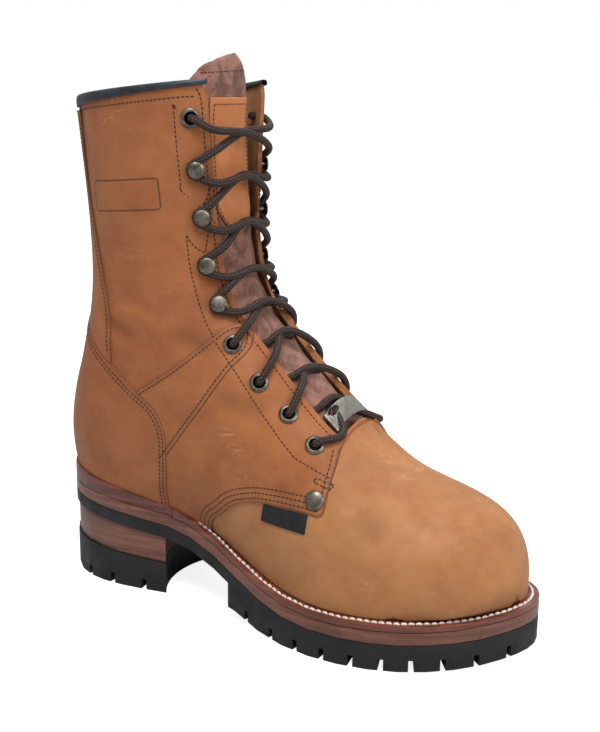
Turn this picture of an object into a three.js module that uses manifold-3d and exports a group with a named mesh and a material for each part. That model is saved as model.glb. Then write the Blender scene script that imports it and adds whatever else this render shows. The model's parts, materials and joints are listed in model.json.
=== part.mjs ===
// Logger boot for the right foot: lace-up leather work boot on a welted sole with a tall stacked heel.
// Millimetres. While it is built, x runs from the back of the sole to the toe, y to the inner side of the
// foot and z up from the floor. At the end the whole boot is shifted so that the origin is the middle of
// the face that the heel rests on.
import * as THREE from 'three';
import { mergeVertices } from 'three/addons/utils/BufferGeometryUtils.js';
import Module from 'manifold-3d';

const wasm = await Module();
wasm.setup();

// Sole
const soleLength = 306;
const ballWidth = 117;
const forepartThickness = 15;
const waistThickness = 7.6;
const seatHeight = 52.8;
const toeSpring = 5.5;
const archRise = 7;
const midsoleThickness = 7.2;
const weltThickness = 3.4;
const randRise = 6.6;
const weltLedge = 6.5;
const heelLedge = 1.6;
const insoleThickness = 3;
const treadBack = 137;
const lugDepth = 6.5;
const lugGap = 3;
const lugLength = 21;

// Heel
const heelLength = 86.5;
const breastDepth = 11.5;
const capFrontHeight = 19.4;
const capBackHeight = 25;
const blockInset = 1.4;
const capInset = 0.4;
const bevelHeight = 7;
const bevelLength = 14;
const capNotch = 3.4;
const notchShare = 0.6;
const heelRestX = 42;

// Upper
const instepHeight = 171;
const collarFront = 307.6;
const collarBack = 294.6;
const legDepth = 126;
const legWidth = 89;
const leatherWall = 2.4;
const throatWidth = 62;

// Tongue
const tongueWall = 3.2;
const tongueSunk = 6.5;
const tongueLean = 11;
const tongueRise = 15;
const tongueFlapWidth = 58;

// Pieces on the upper: their walls, the binding's depth, the label and the patch on the tongue
const quarterWall = 1.2;
const bandWall = 1.6;
const counterWall = 1.6;
const backstayWall = 1.2;
const bindingDepth = 6.2;
const bindingWall = 1.1;
const labelWall = 0.7;
const patchWall = 1.3;
const patchWidth = 39;
const patchHeight = 76;
const patchFoot = 0.92;
const patchDrop = 11;

// Hardware and lace
const eyeletRadius = 5.6;
const eyeletHole = 2.7;
const eyeletLip = 0.4;
const eyeletHeight = 1.5;
const hookRadius = 5;
const hookStem = 1.6;
const hookRoom = 4.9;
const rivetRadius = 5.4;
const rivetHeight = 2;
const keeperWall = 1.2;
const keeperLift = 0.8;
const laceWidth = 4.4;

// Clearances between pieces: curved ones, the upper over the sole, flat layers, and the insole in the
// upper
const seam = 0.3;
const footSeam = 0.6;
const layerSeam = 0.2;
const insoleFit = 1.8;

// Rows of the sole from the back to the toe. at: share of the length. outer, inner: edge of the outline
// on either side, share of the ball width. drop: share of the seat's height over the forepart.
// spring: share of the toe spring. arch: share of the rise of the tread towards the waist.
// ledge: share of the welt's ledge over the heel's. rand: share of the rand's rise.
const soleRows = [
  { at: 0.0, outer: 0.0, inner: 0.0, drop: 1.0, spring: 0, arch: 1, ledge: 0, rand: 1 },
  { at: 0.02, outer: 0.165, inner: 0.165, drop: 0.99, spring: 0, arch: 1, ledge: 0, rand: 1 },
  { at: 0.06, outer: 0.268, inner: 0.268, drop: 0.967, spring: 0, arch: 1, ledge: 0, rand: 0.97 },
  { at: 0.12, outer: 0.33, inner: 0.33, drop: 0.926, spring: 0, arch: 1, ledge: 0, rand: 0.88 },
  { at: 0.18, outer: 0.336, inner: 0.334, drop: 0.874, spring: 0, arch: 1, ledge: 0.03, rand: 0.7 },
  { at: 0.24, outer: 0.318, inner: 0.314, drop: 0.812, spring: 0, arch: 1, ledge: 0.2, rand: 0.5 },
  { at: 0.3, outer: 0.293, inner: 0.284, drop: 0.74, spring: 0, arch: 1, ledge: 0.5, rand: 0.3 },
  { at: 0.37, outer: 0.305, inner: 0.27, drop: 0.595, spring: 0, arch: 1, ledge: 0.82, rand: 0.12 },
  { at: 0.45, outer: 0.362, inner: 0.296, drop: 0.36, spring: 0, arch: 1, ledge: 1, rand: 0 },
  { at: 0.5, outer: 0.407, inner: 0.33, drop: 0.22, spring: 0, arch: 0.45, ledge: 1, rand: 0 },
  { at: 0.55, outer: 0.452, inner: 0.378, drop: 0.105, spring: 0, arch: 0.12, ledge: 1, rand: 0 },
  { at: 0.61, outer: 0.496, inner: 0.436, drop: 0.03, spring: 0, arch: 0, ledge: 1, rand: 0 },
  { at: 0.68, outer: 0.516, inner: 0.47, drop: 0, spring: 0, arch: 0, ledge: 1, rand: 0 },
  { at: 0.75, outer: 0.497, inner: 0.476, drop: 0, spring: 0, arch: 0, ledge: 1, rand: 0 },
  { at: 0.82, outer: 0.44, inner: 0.45, drop: 0, spring: 0.04, arch: 0, ledge: 1, rand: 0 },
  { at: 0.88, outer: 0.358, inner: 0.408, drop: 0, spring: 0.22, arch: 0, ledge: 1, rand: 0 },
  { at: 0.93, outer: 0.256, inner: 0.345, drop: 0, spring: 0.46, arch: 0, ledge: 1, rand: 0 },
  { at: 0.97, outer: 0.13, inner: 0.258, drop: 0, spring: 0.73, arch: 0, ledge: 1, rand: 0 },
  { at: 1.0, outer: -0.07, inner: 0.07, drop: 0, spring: 1, arch: 0, ledge: 1, rand: 0 },
];

// Sections of the upper. Each lies in a plane across the boot that runs from a foot point on the sole or
// on the heel's back to a top point on the toe, the instep or the shin.
// topX: share of the sole's length (foot) or of the leg's depth (leg). topRise: share of the instep's
// height (foot), or of the way from there to the collar (leg). foot: share of the sole's length where the
// section stands on it. backX, backRise: place on the heel's back, share of the leg's depth and of the
// collar's height there. outer, inner: greatest half width, share of the ball width or of the leg's width.
// widest: where that is, share of the section's height. crown: roundness above it.
// gap: half width of the throat, share of the throat's width. shift: middle, share of the ball width.
const footRows = [
  {
    topX: 0.976, topRise: 0.182, foot: 0.872, outer: 0.303, inner: 0.344,
    widest: 0, crown: 2.1, gap: 0.3, shift: 0.06,
  },
  {
    topX: 0.978, topRise: 0.235, foot: 0.858, outer: 0.334, inner: 0.367,
    widest: 0.08, crown: 2.15, gap: 0.31, shift: 0.06,
  },
  {
    topX: 0.974, topRise: 0.295, foot: 0.843, outer: 0.357, inner: 0.382,
    widest: 0.14, crown: 2.2, gap: 0.32, shift: 0.06,
  },
  {
    topX: 0.962, topRise: 0.362, foot: 0.828, outer: 0.379, inner: 0.394,
    widest: 0.18, crown: 2.25, gap: 0.34, shift: 0.058,
  },
  {
    topX: 0.938, topRise: 0.422, foot: 0.812, outer: 0.396, inner: 0.404,
    widest: 0.2, crown: 2.3, gap: 0.36, shift: 0.055,
  },
  {
    topX: 0.902, topRise: 0.466, foot: 0.795, outer: 0.413, inner: 0.412,
    widest: 0.22, crown: 2.35, gap: 0.37, shift: 0.05,
  },
  {
    topX: 0.857, topRise: 0.498, foot: 0.777, outer: 0.427, inner: 0.418,
    widest: 0.24, crown: 2.35, gap: 0.38, shift: 0.045,
  },
  {
    topX: 0.805, topRise: 0.525, foot: 0.757, outer: 0.443, inner: 0.426,
    widest: 0.25, crown: 2.3, gap: 0.39, shift: 0.038,
  },
  {
    topX: 0.75, topRise: 0.556, foot: 0.733, outer: 0.456, inner: 0.43,
    widest: 0.25, crown: 2.2, gap: 0.4, shift: 0.03,
  },
  {
    topX: 0.7, topRise: 0.612, foot: 0.7, outer: 0.466, inner: 0.428,
    widest: 0.25, crown: 2.15, gap: 0.4, shift: 0.02,
  },
  {
    topX: 0.65, topRise: 0.697, foot: 0.66, outer: 0.464, inner: 0.414,
    widest: 0.26, crown: 2.1, gap: 0.4, shift: 0.01,
  },
  {
    topX: 0.6, topRise: 0.775, foot: 0.61, outer: 0.45, inner: 0.392,
    widest: 0.28, crown: 2.1, gap: 0.38, shift: 0.005,
  },
  {
    topX: 0.555, topRise: 0.852, foot: 0.555, outer: 0.425, inner: 0.366,
    widest: 0.32, crown: 2.15, gap: 0.36, shift: 0,
  },
  {
    topX: 0.513, topRise: 0.93, foot: 0.49, outer: 0.4, inner: 0.35,
    widest: 0.36, crown: 2.2, gap: 0.345, shift: 0,
  },
  {
    topX: 0.476, topRise: 1.005, foot: 0.415, outer: 0.38, inner: 0.342,
    widest: 0.4, crown: 2.25, gap: 0.345, shift: 0,
  },
  {
    topX: 0.451, topRise: 1.075, foot: 0.335, outer: 0.358, inner: 0.335,
    widest: 0.42, crown: 2.3, gap: 0.35, shift: 0,
  },
  {
    topX: 0.435, topRise: 1.14, foot: 0.25, outer: 0.352, inner: 0.338,
    widest: 0.43, crown: 2.35, gap: 0.35, shift: 0,
  },
  {
    topX: 0.426, topRise: 1.2, foot: 0.165, outer: 0.35, inner: 0.34,
    widest: 0.44, crown: 2.35, gap: 0.348, shift: 0,
  },
  {
    topX: 0.421, topRise: 1.26, foot: 0.085, outer: 0.352, inner: 0.344,
    widest: 0.45, crown: 2.35, gap: 0.348, shift: 0,
  },
  {
    topX: 0.417, topRise: 1.305, foot: 0.03, outer: 0.354, inner: 0.348,
    widest: 0.46, crown: 2.35, gap: 0.348, shift: 0,
  },
];
const legRows = [
  {
    topX: 1.006, topRise: 0.4, backX: -0.01, backRise: 0.24, outer: 0.47, inner: 0.46,
    widest: 0.46, crown: 2.35, gap: 0.35,
  },
  {
    topX: 1.002, topRise: 0.44, backX: -0.013, backRise: 0.297, outer: 0.472, inner: 0.465,
    widest: 0.46, crown: 2.35, gap: 0.352,
  },
  {
    topX: 0.999, topRise: 0.49, backX: 0.022, backRise: 0.37, outer: 0.475, inner: 0.47,
    widest: 0.47, crown: 2.35, gap: 0.36,
  },
  {
    topX: 0.996, topRise: 0.545, backX: 0.09, backRise: 0.446, outer: 0.478, inner: 0.475,
    widest: 0.47, crown: 2.35, gap: 0.375,
  },
  {
    topX: 0.996, topRise: 0.68, backX: 0.182, backRise: 0.625, outer: 0.486, inner: 0.485,
    widest: 0.48, crown: 2.35, gap: 0.418,
  },
  {
    topX: 1.007, topRise: 0.84, backX: 0.15, backRise: 0.81, outer: 0.494, inner: 0.494,
    widest: 0.49, crown: 2.35, gap: 0.46,
  },
  {
    topX: 1.035, topRise: 1, backX: 0.09, backRise: 1, outer: 0.5, inner: 0.5,
    widest: 0.5, crown: 2.35, gap: 0.5,
  },
];

// How finely the upper's wall is divided
const sideColumns = 10;
const throatColumns = 4;
const throatRow = 10;

// Value of a table's column at a place between its rows, on a smooth curve through them
function between(rows, places, key, place) {
  const last = places.length - 1;
  const p = Math.min(Math.max(place, places[0]), places[last]);
  let i = 0;
  while (i < last - 1 && places[i + 1] < p) i += 1;
  const slope = (a, b) => (rows[b][key] - rows[a][key]) / (places[b] - places[a]);
  const tangent = (k) => {
    if (k === 0) return slope(0, 1);
    if (k === last) return slope(last - 1, last);
    const before = places[k] - places[k - 1];
    const after = places[k + 1] - places[k];
    return (slope(k - 1, k) * after + slope(k, k + 1) * before) / (before + after);
  };
  const width = places[i + 1] - places[i];
  const u = (p - places[i]) / width;
  const a = rows[i][key];
  const b = rows[i + 1][key];
  const ta = tangent(i) * width;
  const tb = tangent(i + 1) * width;
  return a + u * ta + u * u * (3 * (b - a) - 2 * ta - tb) + u * u * u * (2 * (a - b) + ta + tb);
}

const shares = soleRows.map((row) => row.at);
const turns = shares.map((at) => Math.acos(1 - 2 * at));
const soleAt = (key, x) => between(soleRows, shares, key, x / soleLength);
const outsoleTop = (x) =>
  forepartThickness + toeSpring * soleAt('spring', x) + (seatHeight - forepartThickness) * soleAt('drop', x);
const stripBottom = (x) => outsoleTop(x) - waistThickness;
const treadBottom = (x) => toeSpring * soleAt('spring', x) + archRise * soleAt('arch', x);
const midsoleTop = (x) => outsoleTop(x) + layerSeam + midsoleThickness;
const featherTop = (x) => midsoleTop(x) + layerSeam + weltThickness + randRise * soleAt('rand', x);
const capTop = (x) => capBackHeight + (capFrontHeight - capBackHeight) * Math.min(x / heelLength, 1.2);

// Outline of the sole as two rows of points from the back to the toe, set in from the edge
const outlineSteps = 25;
function outline(inset) {
  const ring = [];
  const point = (turn, side) => {
    const x = (soleLength / 2) * (1 - Math.cos(turn));
    const key = side < 0 ? 'outer' : 'inner';
    return new THREE.Vector2(x, side * ballWidth * between(soleRows, turns, key, turn));
  };
  for (let i = 0; i <= outlineSteps; i += 1) ring.push(point((Math.PI * i) / outlineSteps, -1));
  for (let i = outlineSteps - 1; i > 0; i -= 1) ring.push(point((Math.PI * i) / outlineSteps, 1));
  const count = ring.length;
  const moved = ring.map((here, i) => {
    const next = ring[(i + 1) % count];
    const before = ring[(i + count - 1) % count];
    const along = next.clone().sub(before).normalize();
    const depth = typeof inset === 'function' ? inset(here.x) : inset;
    return new THREE.Vector2(here.x - along.y * depth, here.y + along.x * depth);
  });
  const outer = moved.slice(0, outlineSteps + 1);
  const inner = [moved[0], ...moved.slice(outlineSteps + 1).reverse(), moved[outlineSteps]];
  return { outer, inner };
}

// Closed plate over an outline between two heights that change along the boot
function plate(inset, bottom, top) {
  const { outer, inner } = outline(inset);
  const positions = [];
  const index = [];
  for (let i = 0; i <= outlineSteps; i += 1) {
    for (const p of [outer[i], inner[i]]) {
      positions.push(p.x, p.y, bottom(p.x), p.x, p.y, top(p.x));
    }
  }
  const face = (a, b, c, d) => index.push(a, b, c, a, c, d);
  for (let i = 0; i < outlineSteps; i += 1) {
    const a = 4 * i;
    const b = a + 4;
    face(a + 1, b + 1, b + 3, a + 3);
    face(a, a + 2, b + 2, b);
    face(a, b, b + 1, a + 1);
    face(a + 2, a + 3, b + 3, b + 2);
  }
  return geometryOf(positions, index);
}

function geometryOf(positions, index) {
  const geometry = new THREE.BufferGeometry();
  geometry.setAttribute('position', new THREE.Float32BufferAttribute(positions, 3));
  geometry.setIndex(index);
  return geometry;
}

// Solid for joining and cutting, and back to a geometry
function solidOf(geometry) {
  const bare = geometry.clone();
  bare.deleteAttribute('normal');
  bare.deleteAttribute('uv');
  const merged = mergeVertices(bare, 1e-4);
  const kept = [];
  const index = merged.index.array;
  for (let i = 0; i < index.length; i += 3) {
    const [a, b, c] = [index[i], index[i + 1], index[i + 2]];
    if (a !== b && b !== c && c !== a) kept.push(a, b, c);
  }
  const mesh = new wasm.Mesh({
    numProp: 3,
    vertProperties: new Float32Array(merged.attributes.position.array),
    triVerts: new Uint32Array(kept),
  });
  return new wasm.Manifold(mesh);
}

function geometryOfSolid(solid) {
  const mesh = solid.getMesh();
  const geometry = geometryOf(Array.from(mesh.vertProperties), Array.from(mesh.triVerts));
  geometry.computeVertexNormals();
  return geometry;
}

function box(x0, x1, y0, y1, z0, z1) {
  const geometry = new THREE.BoxGeometry(x1 - x0, y1 - y0, z1 - z0);
  geometry.translate((x0 + x1) / 2, (y0 + y1) / 2, (z0 + z1) / 2);
  return solidOf(geometry);
}

// Zone of the heel: everything behind its hollow breast
const breastShare = 0.39;
const breastHalf = heelLength * breastShare;
const breastRadius = (breastHalf ** 2 + breastDepth ** 2) / (2 * breastDepth);
const wide = ballWidth;
function heelZone() {
  const hollow = new THREE.CylinderGeometry(breastRadius, breastRadius, 2 * soleLength, 72);
  hollow.rotateX(Math.PI / 2);
  hollow.translate(heelLength - breastDepth + breastRadius, 0, 0);
  const behind = box(-wide, heelLength + breastDepth, -wide, wide, -wide, soleLength);
  return behind.subtract(solidOf(hollow));
}

// Gaps between the lugs. at: share of the turn from the heel's back (0) round to the toe (1).
const lugRows = [
  { at: 0.5 },
  { at: 0.542 },
  { at: 0.58 },
  { at: 0.618 },
  { at: 0.657 },
  { at: 0.697 },
  { at: 0.738 },
  { at: 0.783 },
  { at: 0.836 },
  { at: 0.9 },
];

// Point and inward direction on the outline at a share of the turn
function outlineAt(share, side) {
  const key = side < 0 ? 'outer' : 'inner';
  const place = (turn) => {
    const x = (soleLength / 2) * (1 - Math.cos(turn));
    return new THREE.Vector2(x, side * ballWidth * between(soleRows, turns, key, turn));
  };
  const here = place(share * Math.PI);
  const step = 0.01;
  const along = place(share * Math.PI + step).sub(place(share * Math.PI - step)).normalize();
  return { here, inward: new THREE.Vector2(side * along.y, -side * along.x) };
}

// Slot from the edge of the sole inwards, open below
function slot(share, side, width, length, bottom, height) {
  const { here, inward } = outlineAt(share, side);
  const margin = 3;
  const geometry = new THREE.BoxGeometry(length + margin, width, height + margin);
  geometry.translate((length - margin) / 2, 0, bottom + (height - margin) / 2);
  geometry.rotateZ(Math.atan2(inward.y, inward.x));
  geometry.translate(here.x, here.y, 0);
  return solidOf(geometry);
}

function outsole() {
  const strip = solidOf(plate(0, stripBottom, outsoleTop));
  const tread = solidOf(plate(0, treadBottom, (x) => stripBottom(x) + waistThickness / 2));
  const forepart = box(treadBack, soleLength + wide, -wide, wide, -wide, wide);
  let lugs = tread.intersect(forepart);
  for (const row of lugRows) {
    for (const side of [-1, 1]) {
      const { here } = outlineAt(row.at, side);
      lugs = lugs.subtract(slot(row.at, side, lugGap, lugLength, treadBottom(here.x), lugDepth));
    }
  }
  return strip.add(lugs);
}

function heelBlock() {
  const top = (x) => stripBottom(x) - layerSeam;
  return solidOf(plate(blockInset, capTop, top)).intersect(heelZone());
}

const notchRows = [{ at: 0.2 }, { at: 0.262 }, { at: 0.322 }];
function heelCap() {
  const low = (x) => bevelHeight * Math.max(1 - x / bevelLength, 0);
  let cap = solidOf(plate(capInset, low, (x) => capTop(x) - layerSeam)).intersect(heelZone());
  for (const row of notchRows) {
    for (const side of [-1, 1]) {
      cap = cap.subtract(slot(row.at, side, capNotch, lugLength * notchShare, 0, lugDepth));
    }
  }
  return cap;
}

function midsole() {
  return solidOf(plate(0, (x) => outsoleTop(x) + layerSeam, midsoleTop));
}

// Ring under the edge of the upper: the welt, and behind the breast the heel's rand
const ledge = (x) => heelLedge + (weltLedge - heelLedge) * soleAt('ledge', x);
const insoleReach = (x) => ledge(x) + leatherWall + insoleFit;
function ringUnderUpper(back, front) {
  const strip = solidOf(plate(0, (x) => midsoleTop(x) + layerSeam, featherTop));
  const hole = solidOf(plate(insoleReach, (x) => midsoleTop(x) - 1, (x) => featherTop(x) + 1));
  return strip.subtract(hole).intersect(box(back, front, -wide, wide, -wide, wide));
}

// Upper: all sections in millimetres
const feather = outline(ledge);
function featherHalf(x, side) {
  const row = side < 0 ? feather.outer : feather.inner;
  if (x <= row[0].x) return row[0].y;
  for (let i = 0; i < outlineSteps; i += 1) {
    const a = row[i];
    const b = row[i + 1];
    if (x >= a.x && x <= b.x) return a.y + ((b.y - a.y) * (x - a.x)) / (b.x - a.x);
  }
  return row[outlineSteps].y;
}

const rise = (share, collar) =>
  share <= 1 ? share * instepHeight : instepHeight + (share - 1) * (collar - instepHeight);
const sections = [
  ...footRows.map((row) => ({
    topX: row.topX * soleLength,
    topZ: rise(row.topRise, collarFront),
    footX: row.foot * soleLength,
    footZ: featherTop(row.foot * soleLength) + footSeam,
    outer: row.outer * ballWidth,
    inner: row.inner * ballWidth,
    widest: row.widest,
    crown: row.crown,
    gap: row.gap * throatWidth,
    shift: row.shift * ballWidth,
    stands: 1,
  })),
  ...legRows.map((row) => ({
    topX: row.topX * legDepth,
    topZ: rise(1 + row.topRise, collarFront),
    footX: row.backX * legDepth,
    footZ: row.backRise * collarBack,
    outer: row.outer * legWidth,
    inner: row.inner * legWidth,
    widest: row.widest,
    crown: row.crown,
    gap: row.gap * throatWidth,
    shift: 0,
    stands: 0,
  })),
];

// One side of a section as points from its foot to its top, evenly spaced up to the throat's edge and
// from there to the middle
const finely = 80;
function halfSection(s, side) {
  const width = (side < 0 ? s.outer : s.inner) - side * s.shift;
  const footHalf = s.stands ? Math.max(side * (featherHalf(s.footX, side) - s.shift), 0) : 0;
  const half = Math.max(width, footHalf + 0.01);
  const low = s.widest > 0 ? s.widest / (1 - (footHalf / half) ** 2) ** 0.5 : 0;
  const start = s.widest > 0 ? -Math.asin(Math.min(s.widest / low, 1)) : 0;
  const across = new THREE.Vector3(s.topX - s.footX, 0, s.topZ - s.footZ);
  const line = [];
  for (let i = 0; i <= finely; i += 1) {
    const angle = start + ((Math.PI / 2 - start) * i) / finely;
    const power = angle > 0 ? 2 / s.crown : 1;
    const reach = half * Math.max(Math.cos(angle), 0) ** power;
    const bulge = angle > 0 ? (1 - s.widest) * Math.sin(angle) ** power : low * Math.sin(angle);
    const up = s.widest + bulge;
    line.push(new THREE.Vector3(s.footX + across.x * up, s.shift + side * reach, s.footZ + across.z * up));
  }
  const run = [0];
  for (let i = 1; i <= finely; i += 1) run.push(run[i - 1] + line[i].distanceTo(line[i - 1]));
  let edge = finely;
  while (Math.abs(line[edge].y - s.shift) < s.gap && edge > 1) edge -= 1;
  const fraction =
    (s.gap - Math.abs(line[edge].y - s.shift)) /
    (Math.abs(line[edge + 1].y - s.shift) - Math.abs(line[edge].y - s.shift));
  const edgeRun = run[edge] + fraction * (run[edge + 1] - run[edge]);
  const pointAt = (length) => {
    let k = 0;
    while (k < finely - 1 && run[k + 1] < length) k += 1;
    const u = Math.min(Math.max((length - run[k]) / (run[k + 1] - run[k]), 0), 1);
    return line[k].clone().lerp(line[k + 1], u);
  };
  const points = [];
  for (let i = 0; i <= sideColumns; i += 1) points.push(pointAt((edgeRun * i) / sideColumns));
  for (let i = 1; i <= throatColumns; i += 1) {
    points.push(pointAt(edgeRun + ((run[finely] - edgeRun) * i) / throatColumns));
  }
  return points;
}

// The first section lies on the sole and is the feather line round the toe
function toeLine(s, side) {
  const row = side < 0 ? feather.outer : feather.inner;
  const points = [new THREE.Vector3(s.footX, featherHalf(s.footX, side), 0)];
  for (const p of row) if (p.x > s.footX + 0.5) points.push(new THREE.Vector3(p.x, p.y, 0));
  for (const p of points) p.z = featherTop(p.x) + footSeam;
  const curve = new THREE.CatmullRomCurve3(points, false, 'chordal');
  const all = sideColumns + throatColumns;
  return curve.getSpacedPoints(all);
}

const middleColumn = sideColumns + throatColumns;
const columns = 2 * middleColumn;
function upperGrid() {
  const grid = [];
  for (let r = 0; r < sections.length; r += 1) {
    const s = sections[r];
    const outer = r === 0 ? toeLine(s, -1) : halfSection(s, -1);
    const inner = r === 0 ? toeLine(s, 1) : halfSection(s, 1);
    grid.push([...outer, ...inner.slice(0, -1).reverse()]);
  }
  return grid;
}

// Surface of the upper as merged vertices, with the throat left out
function upperSurface(grid, keep) {
  const positions = [];
  const index = [];
  for (const row of grid) for (const p of row) positions.push(p.x, p.y, p.z);
  const wide = columns + 1;
  for (let r = 0; r < grid.length - 1; r += 1) {
    for (let c = 0; c < columns; c += 1) {
      if (!keep(r, c)) continue;
      const a = r * wide + c;
      const [p, q, t, u] = [grid[r][c], grid[r][c + 1], grid[r + 1][c], grid[r + 1][c + 1]];
      if (p.distanceTo(u) < q.distanceTo(t)) index.push(a, a + 1, a + wide + 1, a, a + wide + 1, a + wide);
      else index.push(a, a + 1, a + wide, a + 1, a + wide + 1, a + wide);
    }
  }
  return mergeVertices(geometryOf(positions, index), 1e-3);
}

// Gives a surface a wall on its inner side. Edge points on the sole keep their height.
function wallOf(surface, from, to, lies) {
  const outer = surface.clone();
  outer.computeVertexNormals();
  const p = outer.attributes.position;
  const n = outer.attributes.normal;
  const count = p.count;
  const positions = [];
  const layer = (depth) => {
    for (let i = 0; i < count; i += 1) {
      const here = new THREE.Vector3().fromBufferAttribute(p, i);
      const normal = new THREE.Vector3().fromBufferAttribute(n, i);
      if (lies(here)) normal.setZ(0).normalize();
      const moved = here.clone().addScaledVector(normal, depth);
      if (lies(here)) moved.z = featherTop(moved.x) + footSeam;
      positions.push(moved.x, moved.y, moved.z);
    }
  };
  layer(to);
  layer(from);
  const index = [];
  const source = outer.index.array;
  const edges = new Map();
  for (let i = 0; i < source.length; i += 3) {
    const t = [source[i], source[i + 1], source[i + 2]];
    if (t[0] === t[1] || t[1] === t[2] || t[2] === t[0]) continue;
    index.push(t[0], t[1], t[2], t[0] + count, t[2] + count, t[1] + count);
    for (let k = 0; k < 3; k += 1) {
      const a = t[k];
      const b = t[(k + 1) % 3];
      if (edges.has(`${b},${a}`)) edges.delete(`${b},${a}`);
      else edges.set(`${a},${b}`, [a, b]);
    }
  }
  for (const [a, b] of edges.values()) index.push(b, a, a + count, b, a + count, b + count);
  return geometryOf(positions, index);
}

const grid = upperGrid();
const onSole = (p) => Math.abs(p.z - featherTop(p.x) - footSeam) < 0.02;
const inThroat = (r, c) =>
  r >= throatRow && c >= sideColumns && c < columns - sideColumns;
const outerSkin = upperSurface(grid, (r, c) => !inThroat(r, c));
const upper = wallOf(outerSkin, -leatherWall, 0, onSole);

function insole() {
  const board = (x) => featherTop(x) + insoleThickness;
  return solidOf(plate((x) => insoleReach(x) + seam, (x) => midsoleTop(x) + footSeam, board));
}

// Point on the full form of the upper, throat closed, at a row and a column that need not be whole.
// Past the collar it runs on straight.
function formAt(r, c) {
  const r0 = Math.min(Math.max(Math.floor(r), 0), grid.length - 2);
  const c0 = Math.min(Math.max(Math.floor(c), 0), columns - 1);
  const low = grid[r0][c0].clone().lerp(grid[r0][c0 + 1], c - c0);
  const high = grid[r0 + 1][c0].clone().lerp(grid[r0 + 1][c0 + 1], c - c0);
  return low.lerp(high, r - r0);
}

// Surface over given rows and columns of the form
function formPatch(rows, cols) {
  const positions = [];
  const index = [];
  for (const r of rows) {
    for (const c of cols) {
      const p = formAt(r, c);
      positions.push(p.x, p.y, p.z);
    }
  }
  for (let r = 0; r < rows.length - 1; r += 1) {
    for (let c = 0; c < cols.length - 1; c += 1) {
      const a = r * cols.length + c;
      const b = a + cols.length;
      index.push(a, a + 1, b + 1, a, b + 1, b);
    }
  }
  return geometryOf(positions, index);
}
const nowhere = () => false;

// Tongue: it lies inside the facings, sunk towards its middle, leans back at the top and stands up past
// the collar
function tongueSurface() {
  const first = throatRow - 1;
  const last = grid.length - 1;
  const rows = [];
  for (let r = first; r <= last; r += 1) rows.push(r);
  const rowHeight = grid[last][middleColumn].distanceTo(grid[last - 1][middleColumn]);
  rows.push(last + (0.5 * tongueRise) / rowHeight, last + tongueRise / rowHeight);
  const reach = throatColumns + 1;
  const cols = [-reach, -throatColumns, -throatColumns / 2, 0, throatColumns / 2, throatColumns, reach];
  const lie = leatherWall + seam;
  const leanFrom = 0.6;
  const surface = formPatch(rows, cols.map((c) => middleColumn + c));
  surface.computeVertexNormals();
  const p = surface.attributes.position;
  const n = surface.attributes.normal;
  for (let i = 0; i < p.count; i += 1) {
    const across = cols[i % cols.length] / reach;
    const up = Math.floor(i / cols.length) / (rows.length - 1);
    const sunk = tongueSunk * (1 - across ** 2) * Math.min(0.45 + up, 1);
    const here = new THREE.Vector3().fromBufferAttribute(p, i);
    const normal = new THREE.Vector3().fromBufferAttribute(n, i);
    here.addScaledVector(normal, -(lie + sunk));
    here.x -= tongueLean * Math.max((up - leanFrom) / (1 - leanFrom), 0) ** 1.5;
    p.setXYZ(i, here.x, here.y, here.z);
  }
  return surface;
}

// Outline of the tongue's flap seen from the front. across: share of its half width, inner side positive.
// up: share of its rise past the collar.
const flapRows = [
  { across: -1.3, up: -2.4 },
  { across: -1.05, up: -0.9 },
  { across: -0.95, up: 0 },
  { across: -0.72, up: 0.42 },
  { across: -0.4, up: 0.68 },
  { across: -0.06, up: 0.83 },
  { across: 0.27, up: 0.93 },
  { across: 0.4, up: 0.75 },
  { across: 0.56, up: 0.36 },
  { across: 0.8, up: -0.22 },
  { across: 0.96, up: -0.9 },
  { across: 1.3, up: -2.4 },
];

// Solid that runs along the boot on an outline in the front view
function frontCut(points) {
  const options = { depth: 2 * soleLength, bevelEnabled: false };
  const geometry = new THREE.ExtrudeGeometry(new THREE.Shape(points), options);
  geometry.rotateX(Math.PI / 2);
  geometry.rotateZ(Math.PI / 2);
  return solidOf(geometry);
}

const tongueFace = tongueSurface();
function tongue() {
  const body = solidOf(wallOf(tongueFace, -tongueWall, 0, nowhere));
  const half = tongueFlapWidth / 2;
  const edge = flapRows.map((row) => new THREE.Vector2(row.across * half, collarFront + row.up * tongueRise));
  const foot = [new THREE.Vector2(-edge[0].x, 0), new THREE.Vector2(edge[0].x, 0)];
  return body.intersect(frontCut([...foot, ...edge]));
}

// Patch on the tongue: straight across its top, round below
function patch() {
  const half = patchWidth / 2;
  const top = collarFront - patchDrop;
  const points = [new THREE.Vector2(half, top), new THREE.Vector2(-half, top)];
  const turn = 8;
  for (let i = 0; i <= turn; i += 1) {
    const angle = Math.PI * (1 + i / turn);
    const low = top - patchHeight + half * (1 + Math.sin(angle));
    points.push(new THREE.Vector2(half * patchFoot * Math.cos(angle), low));
  }
  return solidOf(wallOf(tongueFace, seam, seam + patchWall, nowhere)).intersect(frontCut(points));
}

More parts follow.
